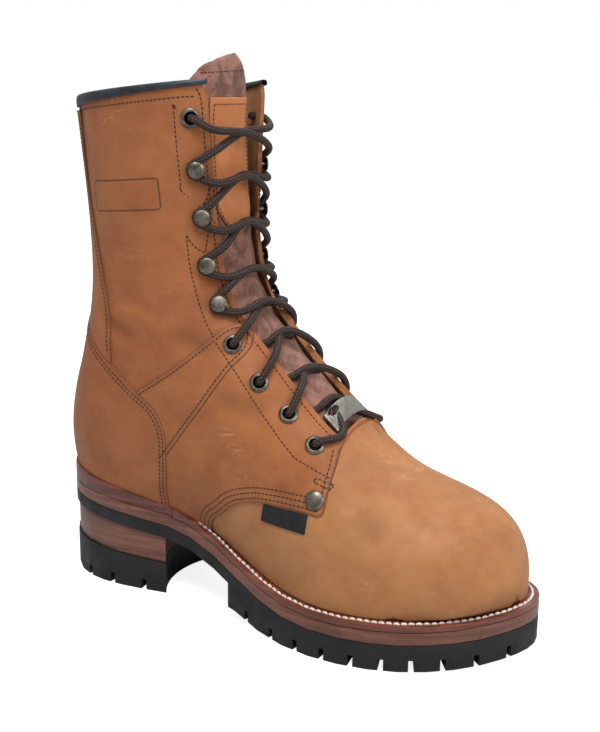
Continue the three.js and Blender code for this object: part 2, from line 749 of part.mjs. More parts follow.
// Pieces that lie on the upper. Their edges are drawn in the side view. x: share of the sole's length.
// z: share of the instep's height.
const counterEdge = [
  { x: -0.07, z: 1.01 },
  { x: 0.03, z: 1.0 },
  { x: 0.08, z: 0.965 },
  { x: 0.126, z: 0.91 },
  { x: 0.186, z: 0.822 },
  { x: 0.238, z: 0.748 },
  { x: 0.275, z: 0.707 },
  { x: 0.299, z: 0.65 },
  { x: 0.3075, z: 0.587 },
  { x: 0.302, z: 0.47 },
  { x: 0.294, z: 0.35 },
  { x: 0.294, z: 0.1 },
];
const backstayEdge = [
  { x: 0.18, z: 0.83 },
  { x: 0.182, z: 0.9 },
  { x: 0.178, z: 1.03 },
  { x: 0.1595, z: 1.13 },
  { x: 0.134, z: 1.257 },
  { x: 0.111, z: 1.383 },
  { x: 0.104, z: 1.468 },
  { x: 0.1, z: 1.6 },
  { x: 0.098, z: 1.9 },
];
const bandTop = [
  { x: 0.22, z: 0.72 },
  { x: 0.242, z: 0.7485 },
  { x: 0.327, z: 0.852 },
  { x: 0.399, z: 0.96 },
  { x: 0.42, z: 0.996 },
  { x: 0.445, z: 1.01 },
  { x: 0.466, z: 0.985 },
];
const bandLow = [
  { x: 0.466, z: 0.985 },
  { x: 0.468, z: 0.93 },
  { x: 0.4405, z: 0.861 },
  { x: 0.396, z: 0.742 },
  { x: 0.342, z: 0.616 },
  { x: 0.3215, z: 0.57 },
  { x: 0.29, z: 0.5 },
];
const quarterEdge = [
  { x: 0.385, z: 0.1 },
  { x: 0.392, z: 0.27 },
  { x: 0.405, z: 0.33 },
  { x: 0.434, z: 0.371 },
  { x: 0.46, z: 0.412 },
  { x: 0.491, z: 0.44 },
  { x: 0.54, z: 0.461 },
  { x: 0.617, z: 0.4626 },
  { x: 0.6525, z: 0.4573 },
];
const quarterFront = [
  { x: 0.6625, z: 0.468 },
  { x: 0.6625, z: 0.545 },
  { x: 0.6614, z: 0.595 },
  { x: 0.657, z: 0.645 },
];
const labelEdge = [
  { x: 0.5345, z: 0.397 },
  { x: 0.6325, z: 0.392 },
  { x: 0.634, z: 0.453 },
  { x: 0.54, z: 0.454 },
];
const drawn = (rows) => rows.map((row) => new THREE.Vector2(row.x * soleLength, row.z * instepHeight));

// Line moved sideways, to the left of its run
function beside(line, distance) {
  return line.map((here, i) => {
    const next = line[Math.min(i + 1, line.length - 1)];
    const before = line[Math.max(i - 1, 0)];
    const along = next.clone().sub(before).normalize();
    return new THREE.Vector2(here.x - along.y * distance, here.y + along.x * distance);
  });
}

// Solid that stands across the boot on an outline in the side view
function sideCut(points) {
  const shape = new THREE.Shape(points);
  const geometry = new THREE.ExtrudeGeometry(shape, { depth: 4 * wide, bevelEnabled: false });
  geometry.rotateX(Math.PI / 2);
  geometry.translate(0, 2 * wide, 0);
  return solidOf(geometry);
}

const outerHalf = box(-wide, 2 * soleLength, -wide, 0, -wide, 2 * collarFront);
const innerHalf = box(-wide, 2 * soleLength, 0, wide, -wide, 2 * collarFront);
const frontRow = throatRow - 2;
const inFront = (r, c) => r >= frontRow && c >= sideColumns && c < columns - sideColumns;
const sideSkin = upperSurface(grid, (r, c) => !inFront(r, c));
const layer = (wall) => solidOf(wallOf(sideSkin, seam, seam + wall, onSole));

const high = 2 * instepHeight;
const counterLine = drawn(counterEdge);
function counter() {
  const corner = [new THREE.Vector2(-wide, 0), new THREE.Vector2(counterLine.at(-1).x, 0)];
  return layer(counterWall).intersect(sideCut([...corner, ...counterLine.slice().reverse()]));
}

// Everything above and in front of the counter's edge
function clearOfCounter() {
  const line = beside(counterLine, seam);
  const around = [[soleLength, 0], [soleLength, high], [-wide, high]];
  return sideCut([...line, ...around.map(([x, z]) => new THREE.Vector2(x, z))]);
}

const bindingFoot = collarBack - bindingDepth - 2 * footSeam;
function backstay() {
  const line = drawn(backstayEdge);
  const behind = [line.at(-1), line[0]].map((p) => new THREE.Vector2(-wide, p.y));
  const outlinePoints = [...line, ...behind];
  const below = new THREE.Vector2(soleLength, bindingFoot);
  const low = [new THREE.Vector2(-wide, 0), new THREE.Vector2(soleLength, 0)];
  const underBinding = sideCut([...low, below, new THREE.Vector2(-wide, bindingFoot)]);
  const strip = layer(backstayWall).intersect(sideCut(outlinePoints));
  return strip.intersect(clearOfCounter()).intersect(underBinding);
}

const bandTip = drawn(bandLow);
function band() {
  const outlinePoints = [...drawn(bandTop), ...bandTip.slice(1)];
  return layer(bandWall).intersect(sideCut(outlinePoints)).intersect(clearOfCounter());
}

function quarter() {
  const low = beside(bandTip, seam);
  const edge = [...drawn(quarterEdge), ...drawn(quarterFront)];
  const above = new THREE.Vector2(quarterFront.at(-1).x * soleLength, low[0].y);
  const behind = new THREE.Vector2(low.at(-1).x, 0);
  return layer(quarterWall).intersect(sideCut([...edge, above, ...low, behind])).intersect(clearOfCounter());
}

function sideLabel() {
  return layer(labelWall).intersect(sideCut(drawn(labelEdge))).intersect(outerHalf);
}

// Binding folded over the collar, from the inner edge of the throat round the back to the outer edge
const lastRow = grid.length - 1;
const collarRow = grid[lastRow][0].distanceTo(grid[lastRow - 1][0]);
function binding() {
  const round = (past) => {
    const cols = [];
    for (let c = columns - sideColumns; c < columns; c += 1) cols.push(c);
    for (let c = 0; c <= sideColumns; c += 1) cols.push(c);
    return past > 0 ? [cols[0] - past, ...cols, sideColumns + past] : cols;
  };
  const ring = (low, rise, past, wall) => {
    const rows = [lastRow - low / collarRow, lastRow + rise / collarRow];
    return solidOf(wallOf(formPatch(rows, round(past)), -leatherWall - wall, wall, nowhere));
  };
  const fold = ring(bindingDepth, seam + bindingWall, 0, seam + bindingWall);
  return fold.subtract(ring(bindingDepth + 2, seam, 0.3, seam));
}

// Place on the upper's form. at: share of the rows from the throat's foot to the collar. inset: distance
// from the throat's edge in mm, negative towards the middle. side: -1 outer, 1 inner.
const rowOf = (at) => throatRow + at * (lastRow - throatRow);
function columnOf(at, inset, side) {
  const next = sideColumns - Math.sign(inset);
  const cell = formAt(rowOf(at), sideColumns).distanceTo(formAt(rowOf(at), next));
  const c = sideColumns - inset / cell;
  return side < 0 ? c : columns - c;
}

// Point lifted off the form, with the form's normal there
function lifted(at, column, lift) {
  const r = rowOf(at);
  const step = 0.5;
  const up = formAt(Math.min(r + step, lastRow), column).sub(formAt(r - step, column));
  const over = formAt(r, column + step).sub(formAt(r, column - step));
  const normal = new THREE.Vector3().crossVectors(over, up).normalize();
  return { point: formAt(r, column).addScaledVector(normal, lift), normal };
}

// Eyelets and hooks on one side from the throat's foot up. at: as above. inset: share of the throat's
// width. hook: 1 for a hook, 0 for an eyelet.
const lacing = [
  { at: 0.042, inset: 0.242, hook: 0, on: seam + quarterWall },
  { at: 0.117, inset: 0.245, hook: 0, on: seam + quarterWall },
  { at: 0.2025, inset: 0.289, hook: 0, on: seam + quarterWall },
  { at: 0.3044, inset: 0.242, hook: 0, on: seam + bandWall },
  { at: 0.4256, inset: 0.168, hook: 1, on: 0 },
  { at: 0.5956, inset: 0.187, hook: 1, on: 0 },
  { at: 0.809, inset: 0.182, hook: 1, on: 0 },
  { at: 0.8875, inset: 0.171, hook: 1, on: 0 },
  { at: 0.954, inset: 0.163, hook: 0, on: 0 },
];
const rivetPlace = { at: 0.0125, inset: 0.632, on: seam + quarterWall };

// Turned piece with its axis along z
function turned(profile, segments) {
  const geometry = new THREE.LatheGeometry(profile.map(([r, h]) => new THREE.Vector2(r, h)), segments);
  geometry.rotateX(Math.PI / 2);
  return geometryOfSolid(solidOf(geometry));
}
const turnSides = 8;
const eyelet = () => {
  const lip = [eyeletRadius - 1.2, eyeletHeight];
  const mouth = [eyeletHole + eyeletLip, eyeletHeight];
  return turned([[eyeletHole, 0], [eyeletRadius, 0], lip, mouth, [eyeletHole, 0]], turnSides);
};
const hook = () => {
  const stemTop = hookRoom + 0.8;
  const cap = [[hookRadius, stemTop], [hookRadius * 0.8, stemTop + 1.5], [0, stemTop + 2.1]];
  return turned([[0, 0], [hookRadius * 0.7, 0], [hookStem, 0.8], [hookStem, stemTop], ...cap], turnSides);
};
const rivetBevel = 0.7;
function rivet() {
  const bevel = [rivetRadius * rivetBevel, rivetHeight * rivetBevel];
  return turned([[0, 0], [rivetRadius, 0], bevel, [0, rivetHeight]], turnSides);
}

// Lace. A strand runs from one piece of hardware to another over the tongue. Outside, it starts beside the
// hardware and passes over the edge of the facing. From under the facing it starts at the facing's edge.
const laceRadius = laceWidth / 2;
const laceSides = 8;
const hardwareSeam = 0.45;
const sag = -3;
const underRun = 5;
const edgeRise = 1.5;
const besideEyelet = 0.8;
const pastEdge = 0.5;
const tuckedIn = 1.4;
const tuckedUp = 0.4;

// Share of the rows that a distance square to them takes up at a column
function rowShare(distance, at, column) {
  const near = 0.1;
  const r = rowOf(at);
  const up = formAt(r + near, column).sub(formAt(r - near, column));
  const over = formAt(r, column + near).sub(formAt(r, column - near));
  const rowHeight = new THREE.Vector3().crossVectors(over, up).length() / over.length() / (2 * near);
  return distance / rowHeight / (lastRow - throatRow);
}

function strandEnd(level, side, outside, above) {
  const { at, inset, hook: isHook, on } = lacing[level];
  const start = inset * throatWidth - (isHook ? 0 : eyeletRadius + besideEyelet);
  const seatColumn = columnOf(at, start, side);
  const lift = on + 2 * hardwareSeam + laceRadius + seam;
  if (!outside) {
    const under = at + above * rowShare(underRun, at, seatColumn);
    const column = columnOf(under, -laceRadius - tuckedIn, side);
    return [{ at: under, column, lift: tuckedUp - laceRadius }];
  }
  const away = isHook ? above * rowShare(hookStem + laceRadius + 3 * seam, at, seatColumn) : 0;
  const beside = { at: at + away, column: seatColumn, lift };
  const overEdge = { at: at + away, column: columnOf(at, -pastEdge, side), lift: lift + edgeRise };
  return [beside, overEdge];
}

// Share of the rows where the form's middle lies straight across from two places on the facings
function acrossFrom(from, to) {
  const centre = formAt(rowOf(from.at), from.column).add(formAt(rowOf(to.at), to.column)).multiplyScalar(0.5);
  const tries = 40;
  const spread = 0.2;
  const middle = (from.at + to.at) / 2;
  let best = { off: Infinity, at: middle };
  for (let i = 0; i <= tries; i += 1) {
    const at = Math.max(middle - (spread * i) / tries, 0);
    const here = formAt(rowOf(at), middleColumn);
    const along = formAt(rowOf(at) + 1, middleColumn).sub(here).normalize();
    const off = Math.abs(here.sub(centre).dot(along));
    if (off < best.off) best = { off, at };
  }
  return best.at;
}

function strand(from, to, crossing, radius = laceRadius, middleAt = null) {
  const ends = [...from, ...to.slice().reverse()];
  const middle = { at: middleAt ?? acrossFrom(from.at(-1), to.at(-1)), column: middleColumn, lift: crossing };
  ends.splice(from.length, 0, middle);
  const points = ends.map(({ at, column, lift }) => lifted(at, column, lift).point);
  const curve = new THREE.CatmullRomCurve3(points, false, 'centripetal');
  const round = new THREE.Shape().absarc(0, 0, radius, 0, 2 * Math.PI, false);
  const steps = points.length;
  const options = { extrudePath: curve, steps, curveSegments: laceSides / 2, bevelEnabled: false };
  return solidOf(new THREE.ExtrudeGeometry(round, options));
}

const firstHook = lacing.findIndex((row) => row.hook);
function crossing(level) {
  const leaves = level > 0 ? 1 : 0;
  const arrives = level + 1 >= firstHook ? 1 : 0;
  const one = strand(strandEnd(level, -1, leaves, 1), strandEnd(level + 1, 1, arrives, -1), sag);
  const other = strand(strandEnd(level, 1, leaves, 1), strandEnd(level + 1, -1, arrives, -1), sag);
  return one.add(other);
}

const laceBar = (radius) => strand(strandEnd(0, -1, 1, 0), strandEnd(0, 1, 1, 0), sag, radius, lacing[0].at);

// Bent plate over the lace bar, with a slot where the lace comes in
const keeperSpan = { low: 0.014, high: 0.05, from: 0.35, to: 6.2 };
function keeper() {
  const rows = [keeperSpan.low, keeperSpan.high].map(rowOf);
  const cols = [];
  const parts = 4;
  for (let i = 0; i <= parts; i += 1) {
    cols.push(sideColumns + keeperSpan.from + ((keeperSpan.to - keeperSpan.from) * i) / parts);
  }
  const plateBody = solidOf(wallOf(formPatch(rows, cols), keeperLift, keeperLift + keeperWall, nowhere));
  return plateBody.subtract(laceBar(laceRadius + seam));
}

const boot = new THREE.Group();
function add(name, geometry, color, roughness, metalness = 0) {
  const material = new THREE.MeshStandardMaterial({ color, roughness, metalness });
  const mesh = new THREE.Mesh(geometry, material);
  mesh.name = name;
  boot.add(mesh);
  return mesh;
}

const leather = 0xb27646;
const stacked = 0x82493a;
const rubber = 0x1e1c1e;
const suede = 0x96705a;
const black = 0x17181c;
const pewter = 0x8a8378;
const silver = 0xb8b6b0;
const cord = 0x3a2a26;

add('outsole', geometryOfSolid(outsole()), rubber, 0.8);
add('heel_block', geometryOfSolid(heelBlock()), stacked, 0.5);
add('heel_cap', geometryOfSolid(heelCap()), rubber, 0.8);
add('midsole', geometryOfSolid(midsole()), stacked, 0.5);
const weltBack = heelLength + breastDepth / 2 + seam;
add('welt', geometryOfSolid(ringUnderUpper(weltBack, soleLength + wide)), stacked, 0.5);
add('heel_rand', geometryOfSolid(ringUnderUpper(-wide, heelLength + breastDepth / 2)), stacked, 0.5);
add('upper', geometryOfSolid(solidOf(upper)), leather, 0.75);
add('insole', geometryOfSolid(insole()), 0x8a6a4a, 0.9);
add('tongue', geometryOfSolid(tongue()), suede, 0.95);
add('tongue_patch', geometryOfSolid(patch()), leather, 0.75);
add('counter', geometryOfSolid(counter()), leather, 0.75);
add('backstay', geometryOfSolid(backstay()), leather, 0.75);
const sides = { outer: outerHalf, inner: innerHalf };
const bands = band();
const quarters = quarter();
for (const [name, half] of Object.entries(sides)) {
  add(`ankle_band_${name}`, geometryOfSolid(bands.intersect(half)), leather, 0.75);
  add(`quarter_${name}`, geometryOfSolid(quarters.intersect(half)), leather, 0.75);
}
add('collar_binding', geometryOfSolid(binding()), black, 0.6);
add('side_label', geometryOfSolid(sideLabel()), black, 0.8);

// Sets a turned piece on the upper, its axis along the normal
function seat(mesh, { at, inset, on }, side) {
  const { point, normal } = lifted(at, columnOf(at, inset * throatWidth, side), on + hardwareSeam);
  mesh.position.copy(point);
  mesh.quaternion.setFromUnitVectors(new THREE.Vector3(0, 0, 1), normal);
}
for (const [side, name] of [[-1, 'outer'], [1, 'inner']]) {
  lacing.forEach((row, i) => {
    const kind = row.hook ? 'hook' : 'eyelet';
    seat(add(`${kind}_${name}_${i + 1}`, row.hook ? hook() : eyelet(), pewter, 0.35, 0.9), row, side);
  });
  seat(add(`rivet_${name}`, rivet(), pewter, 0.35, 0.9), rivetPlace, side);
}
add('lace_bar', geometryOfSolid(laceBar()), cord, 0.9);
add('lace_keeper', geometryOfSolid(keeper()), silver, 0.3, 1);
for (let level = 0; level < lacing.length - 1; level += 1) {
  add(`lace_cross_${level + 1}`, geometryOfSolid(crossing(level)), cord, 0.9);
}

boot.position.x = -heelRestX;
export default boot;
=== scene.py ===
# %% [markdown]
# # Looks of a lace-up work boot
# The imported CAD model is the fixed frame. Every piece below is put where the frame already has it, in metres,
# with +X to the toe, +Y to the inner side and +Z up. The camera comes first, then the leather, the sole, the
# laces, the hardware and the stitching.

# %% Load the frame
import json
import math
import bpy
import numpy as np
from mathutils import Matrix, Vector
from mathutils.bvhtree import BVHTree

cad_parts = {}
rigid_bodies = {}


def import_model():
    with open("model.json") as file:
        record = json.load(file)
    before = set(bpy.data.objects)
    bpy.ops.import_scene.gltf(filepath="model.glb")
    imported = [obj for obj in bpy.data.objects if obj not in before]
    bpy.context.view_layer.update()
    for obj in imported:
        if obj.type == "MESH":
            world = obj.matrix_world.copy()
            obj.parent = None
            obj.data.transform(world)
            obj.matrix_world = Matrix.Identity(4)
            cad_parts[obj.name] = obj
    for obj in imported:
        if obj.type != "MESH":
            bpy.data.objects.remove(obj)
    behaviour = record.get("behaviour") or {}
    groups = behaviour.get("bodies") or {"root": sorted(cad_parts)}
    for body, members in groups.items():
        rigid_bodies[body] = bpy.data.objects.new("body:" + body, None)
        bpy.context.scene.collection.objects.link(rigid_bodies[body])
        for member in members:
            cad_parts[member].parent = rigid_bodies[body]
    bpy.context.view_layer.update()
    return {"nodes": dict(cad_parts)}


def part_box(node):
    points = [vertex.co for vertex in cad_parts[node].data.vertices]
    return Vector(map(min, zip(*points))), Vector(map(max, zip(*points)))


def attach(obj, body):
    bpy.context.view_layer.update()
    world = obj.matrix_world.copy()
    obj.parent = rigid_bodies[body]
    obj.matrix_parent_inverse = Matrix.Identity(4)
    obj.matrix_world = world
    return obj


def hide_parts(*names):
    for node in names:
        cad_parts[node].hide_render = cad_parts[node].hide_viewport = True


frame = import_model()
nodes = frame["nodes"]
scene = bpy.context.scene
MM = 0.001
HEEL_REST = 42 * MM
SOLE_LENGTH = 306 * MM
INSTEP = 171 * MM

# %% [markdown]
# The camera stands in front of the outer side at about knee height, as a shop photograph is taken, and looks
# down a little. Its turn is given by yaw, pitch and a slight roll.

# %% Camera
CAMERA_AT = Vector((0.4299, -0.5557, 0.3011))
YAW, PITCH, ROLL = (math.radians(a) for a in (29.31, 13.7, 0.65))
LENS = 55.72


def place_camera():
    right = Vector((math.cos(YAW), math.sin(YAW), 0))
    forward = Vector((-math.sin(YAW) * math.cos(PITCH), math.cos(YAW) * math.cos(PITCH), -math.sin(PITCH)))
    up = right.cross(forward)
    x_axis = right * math.cos(ROLL) + up * math.sin(ROLL)
    y_axis = up * math.cos(ROLL) - right * math.sin(ROLL)
    turn = Matrix((x_axis, y_axis, -forward)).transposed().to_4x4()
    data = bpy.data.cameras.new("camera")
    data.lens = LENS
    data.sensor_width = 36
    camera = bpy.data.objects.new("camera", data)
    camera.matrix_world = Matrix.Translation(CAMERA_AT) @ turn
    scene.collection.objects.link(camera)
    scene.camera = camera


place_camera()
print("camera at", tuple(CAMERA_AT))

# %% [markdown]
# Materials are node trees. Three effects come back in many of them, so each is a node group: cloudy colour,
# a fine grain for the bump, and thin scuffs. Their noises read Object coordinates in metres, so a scale of 20
# gives clouds of about 5 cm and a scale of 1500 gives grain finer than a millimetre.

# %% Helpers for node trees
def add_node(tree, kind, settings=None, **inputs):
    made = tree.nodes.new(kind)
    for key, value in (settings or {}).items():
        setattr(made, key, value)
    for key, value in inputs.items():
        socket = made.inputs[int(key[1:]) if key[0] == "_" else key.replace("_", " ")]
        if hasattr(value, "is_output"):
            tree.links.new(value, socket)
        else:
            socket.default_value = value
    return made


def colour(hex_code):
    parts = [int(hex_code[i:i + 2], 16) / 255 for i in (0, 2, 4)]
    return (*[p / 12.92 if p <= 0.04045 else ((p + 0.055) / 1.055) ** 2.4 for p in parts], 1)


def new_group(name, inputs, outputs):
    group = bpy.data.node_groups.new(name, "ShaderNodeTree")
    for label, kind, value in inputs:
        socket = group.interface.new_socket(label, in_out="INPUT", socket_type=kind)
        if value is not None:
            socket.default_value = value
    for label, kind in outputs:
        group.interface.new_socket(label, in_out="OUTPUT", socket_type=kind)
    return group, group.nodes.new("NodeGroupInput"), group.nodes.new("NodeGroupOutput")


def noise(tree, vector, scale, detail=4.0, rough=0.55, **extra):
    made = add_node(tree, "ShaderNodeTexNoise", Vector=vector, Scale=scale, Detail=detail, Roughness=rough)
    for key, value in extra.items():
        made.inputs[key].default_value = value
    return made.outputs["Fac"]


def ramp(tree, value, low, high, to_low=0.0, to_high=1.0):
    made = add_node(tree, "ShaderNodeMapRange", {"interpolation_type": "SMOOTHSTEP"}, Value=value, From_Min=low,
                    From_Max=high, To_Min=to_low, To_Max=to_high)
    return made.outputs["Result"]


def maths(tree, operation, *values):
    keys = {f"_{i}": value for i, value in enumerate(values)}
    return add_node(tree, "ShaderNodeMath", {"operation": operation}, **keys).outputs[0]


def blend_colour(tree, fac, a, b, mode="MIX"):
    made = add_node(tree, "ShaderNodeMix", {"data_type": "RGBA", "blend_type": mode}, _0=fac, _6=a, _7=b)
    return made.outputs[2]


# %% [markdown]
# A boot for a catalogue is lit by large soft boxes over a pale floor that runs into a pale backdrop.
# Area lights and a pale world give that even light with a soft shadow under the sole.

# %% Floor and lights
WORLD_LIGHT = 0.42
BACKDROP = 1.0
FLOOR_GLOW = 0.85
SOFT_BOXES = {
    # place, size, power
    "key": ((0.5, -1.0, 2.3), 0.9, 40.0),
    "front": ((1.9, -0.5, 1.1), 0.9, 16.0),
    "back": ((-0.4, 1.3, 2.0), 1.5, 20.0),
}


def add_lights():
    world = bpy.data.worlds.new("studio")
    world.use_nodes = True
    tree = world.node_tree
    tree.nodes["Background"].inputs["Color"].default_value = (1, 1, 1, 1)
    seen = add_node(tree, "ShaderNodeLightPath").outputs["Is Camera Ray"]
    strength = ramp(tree, seen, 0.0, 1.0, WORLD_LIGHT, BACKDROP)
    tree.links.new(strength, tree.nodes["Background"].inputs["Strength"])
    scene.world = world
    aim = Vector((0.11, 0, 0.14))
    for name, (at, size, power) in SOFT_BOXES.items():
        data = bpy.data.lights.new(name, "AREA")
        data.size = size
        data.energy = power
        light = bpy.data.objects.new(name, data)
        light.location = at
        light.rotation_euler = (aim - Vector(at)).to_track_quat("-Z", "Y").to_euler()
        scene.collection.objects.link(light)


add_lights()
scene.view_settings.view_transform = "Standard"
bpy.ops.object.select_all(action="DESELECT")
bpy.ops.mesh.primitive_plane_add(size=60, location=(0, 0, -0.0002))
floor = bpy.context.object
floor.name = "floor"
print("lights", list(SOFT_BOXES))

# %% Shared effects
def build_clouds():
    group, inside, out = new_group("clouds", [
        ("Light", "NodeSocketColor", (0.6, 0.3, 0.1, 1)),
        ("Dark", "NodeSocketColor", (0.3, 0.1, 0.05, 1)),
        ("Scale", "NodeSocketFloat", 20.0),
    ], [("Color", "NodeSocketColor")])
    place = add_node(group, "ShaderNodeTexCoord").outputs["Object"]
    wide = noise(group, place, inside.outputs["Scale"], 3.0, 0.6, Distortion=0.8)
    small = noise(group, place, maths(group, "MULTIPLY", inside.outputs["Scale"], 7.0), 5.0, 0.65)
    both = maths(group, "ADD", maths(group, "MULTIPLY", wide, 0.7), maths(group, "MULTIPLY", small, 0.3))
    fac = ramp(group, both, 0.36, 0.64)
    mixed = blend_colour(group, fac, inside.outputs["Dark"], inside.outputs["Light"])
    group.links.new(mixed, out.inputs["Color"])
    return group


def build_grain():
    group, inside, out = new_group("grain", [
        ("Scale", "NodeSocketFloat", 900.0),
        ("Pores", "NodeSocketFloat", 0.4),
    ], [("Height", "NodeSocketFloat")])
    place = add_node(group, "ShaderNodeTexCoord").outputs["Object"]
    cells = add_node(group, "ShaderNodeTexVoronoi", Vector=place, Scale=inside.outputs["Scale"])
    fuzz = noise(group, place, maths(group, "MULTIPLY", inside.outputs["Scale"], 1.7), 4.0, 0.7)
    pores = maths(group, "MULTIPLY", cells.outputs["Distance"], inside.outputs["Pores"])
    group.links.new(maths(group, "ADD", fuzz, pores), out.inputs["Height"])
    return group


def build_scuffs():
    group, inside, out = new_group("scuffs", [
        ("Scale", "NodeSocketFloat", 22.0),
        ("Amount", "NodeSocketFloat", 0.5),
    ], [("Mask", "NodeSocketFloat")])
    place = add_node(group, "ShaderNodeTexCoord").outputs["Object"]
    turned = add_node(group, "ShaderNodeMapping", Vector=place, Rotation=(0.4, 0.9, 0.5), Scale=(1, 1, 5)).outputs[0]
    lines = noise(group, turned, inside.outputs["Scale"], 2.0, 0.5, Distortion=1.2)
    thin = maths(group, "ABSOLUTE", maths(group, "SUBTRACT", lines, 0.5))
    line = ramp(group, thin, 0.0, 0.012, 1.0, 0.0)
    patches = ramp(group, noise(group, place, 17.0, 2.0, 0.5), 0.54, 0.68)
    mask = maths(group, "MULTIPLY", maths(group, "MULTIPLY", line, patches), inside.outputs["Amount"])
    group.links.new(mask, out.inputs["Mask"])
    return group


clouds, grain, scuffs = build_clouds(), build_grain(), build_scuffs()


def use(tree, group, **inputs):
    made = add_node(tree, "ShaderNodeGroup", {"node_tree": group}, **inputs)
    return made.outputs[0]


def start_material(name, roughness=0.6, metallic=0.0):
    material = bpy.data.materials.new(name)
    material.use_nodes = True
    shader = material.node_tree.nodes["Principled BSDF"]
    shader.inputs["Roughness"].default_value = roughness
    shader.inputs["Metallic"].default_value = metallic
    return material, material.node_tree, shader


def bump(tree, shader, height, strength, depth):
    made = add_node(tree, "ShaderNodeBump", Height=height, Strength=strength, Distance=depth)
    tree.links.new(made.outputs["Normal"], shader.inputs["Normal"])


print("groups", [g.name for g in (clouds, grain, scuffs)])

# %% [markdown]
# Oiled nubuck is a matte leather with a velvety face. Its colour is cloudy, it is darker where it is stitched, and it
# shows pale scratches. Painted shade darkens its creases and the upright shaft, and a painted shadow line runs along
# each cut edge. Two attributes carry what depends on the piece: "rim" is the distance from a cut edge in millimetres,
# and "fold" is how deep a crease is.

# %% Leather
TAN_LIGHT, TAN_MID, TAN_DARK = colour("B37A49"), colour("A1663A"), colour("85502A")
# Painted shade: this multiplier darkens the upright shaft against the top-lit vamp.
SHAFT_SHADE = (0.86, 0.68, 0.56, 1)
SHAFT_FROM, SHAFT_FULL = 0.12, 0.16


def attribute(tree, name):
    return add_node(tree, "ShaderNodeAttribute", {"attribute_name": name, "attribute_type": "GEOMETRY"}).outputs["Fac"]


def leather(name, light=TAN_LIGHT, mid=TAN_MID, dark=TAN_DARK, rims=True, stamped=False):
    material, tree, shader = start_material(name, 0.72)
    base = blend_colour(tree, 0.35, use(tree, clouds, Light=light, Dark=mid, Scale=9.0),
                        use(tree, clouds, Light=light, Dark=dark, Scale=30.0))
    place = add_node(tree, "ShaderNodeTexCoord").outputs["Object"]
    rise = add_node(tree, "ShaderNodeSeparateXYZ", Vector=place).outputs["Z"]
    wander = maths(tree, "MULTIPLY", noise(tree, place, 14.0), 0.05)
    shaft = ramp(tree, maths(tree, "ADD", rise, wander), SHAFT_FROM, SHAFT_FULL)
    # Painted shade: the upper is darkened above SHAFT_FROM, in full above SHAFT_FULL; pieces with rims are darkened all
    # over.
    base = blend_colour(tree, 1.0 if rims else shaft, base, SHAFT_SHADE, "MULTIPLY")
    marks = use(tree, scuffs, Scale=18.0, Amount=0.45)
    base = blend_colour(tree, marks, base, colour("CF9D70"))
    height = use(tree, grain, Scale=900.0, Pores=0.5)
    # Painted shade: creases darken towards 70401F with their depth.
    crease_shade = attribute(tree, "fold")
    base = blend_colour(tree, ramp(tree, crease_shade, 0.05, 1.0, 0.0, 0.55), base, colour("70401F"))
    if rims:
        rim = attribute(tree, "rim")
        # Painted shadow: a dark line within about a millimetre of the cut edge.
        edge_shadow_line = ramp(tree, rim, 0.1, 1.1, 0.75, 0.0)
        base = blend_colour(tree, edge_shadow_line, base, colour("6E3E20"))
        pressed = ramp(tree, maths(tree, "ABSOLUTE", maths(tree, "SUBTRACT", rim, 2.4)), 0.3, 1.6, 0.4, 0.0)
        base = blend_colour(tree, pressed, base, colour("8A5029"))
    if stamped:
        line = stamped_frame(tree)
        base = blend_colour(tree, maths(tree, "MULTIPLY", line, 0.85), base, colour("4A2A1A"))
        height = maths(tree, "SUBTRACT", height, maths(tree, "MULTIPLY", line, 1.5))
    tree.links.new(base, shader.inputs["Base Color"])
    rough = ramp(tree, noise(tree, place, 40.0), 0.3, 0.7, 0.6, 0.82)
    tree.links.new(rough, shader.inputs["Roughness"])
    shader.inputs["Sheen Weight"].default_value = 0.05
    shader.inputs["Sheen Roughness"].default_value = 0.5
    bump(tree, shader, height, 0.35, 0.0004)
    return material


# %% [markdown]
# On the shaft's outer side sits an empty stamped frame: a rounded rectangle pressed into the leather. It is a
# distance formula on the Object coordinates, so it stays a thin line however coarse the mesh is.

# %% Stamped frame
FRAME_CENTRE = (24.7 * MM, 0, 241.8 * MM)
FRAME_TURN = math.radians(4.8)
FRAME_HALF = (24.9 * MM, 8.6 * MM)
FRAME_LINE = 0.45 * MM


def stamped_frame(tree):
    place = add_node(tree, "ShaderNodeTexCoord").outputs["Object"]
    moved = add_node(tree, "ShaderNodeVectorMath", {"operation": "SUBTRACT"}, _0=place, _1=FRAME_CENTRE).outputs[0]
    turned = add_node(tree, "ShaderNodeVectorRotate", {"rotation_type": "Y_AXIS"}, Vector=moved, Angle=FRAME_TURN)
    parts = add_node(tree, "ShaderNodeSeparateXYZ", Vector=turned.outputs[0]).outputs
    side = add_node(tree, "ShaderNodeSeparateXYZ", Vector=place).outputs["Y"]
    over = [maths(tree, "MAXIMUM", maths(tree, "SUBTRACT", maths(tree, "ABSOLUTE", parts[axis]), half - 2 * MM), 0.0)
            for axis, half in (("X", FRAME_HALF[0]), ("Z", FRAME_HALF[1]))]
    squares = [maths(tree, "MULTIPLY", value, value) for value in over]
    far = maths(tree, "SQRT", maths(tree, "ADD", *squares))
    ring = maths(tree, "ABSOLUTE", maths(tree, "SUBTRACT", far, 2 * MM))
    line = ramp(tree, ring, FRAME_LINE * 0.6, FRAME_LINE * 1.5, 1.0, 0.0)
    return maths(tree, "MULTIPLY", line, maths(tree, "LESS_THAN", side, 0.0))


upper_leather = leather("oiled_nubuck", rims=False, stamped=True)
overlay_leather = leather("oiled_nubuck_overlay", stamped=True)
patch_leather = leather("patch_nubuck", colour("DE9C68"), colour("C88450"), colour("B0703F"))
print("leather", upper_leather.name, overlay_leather.name)


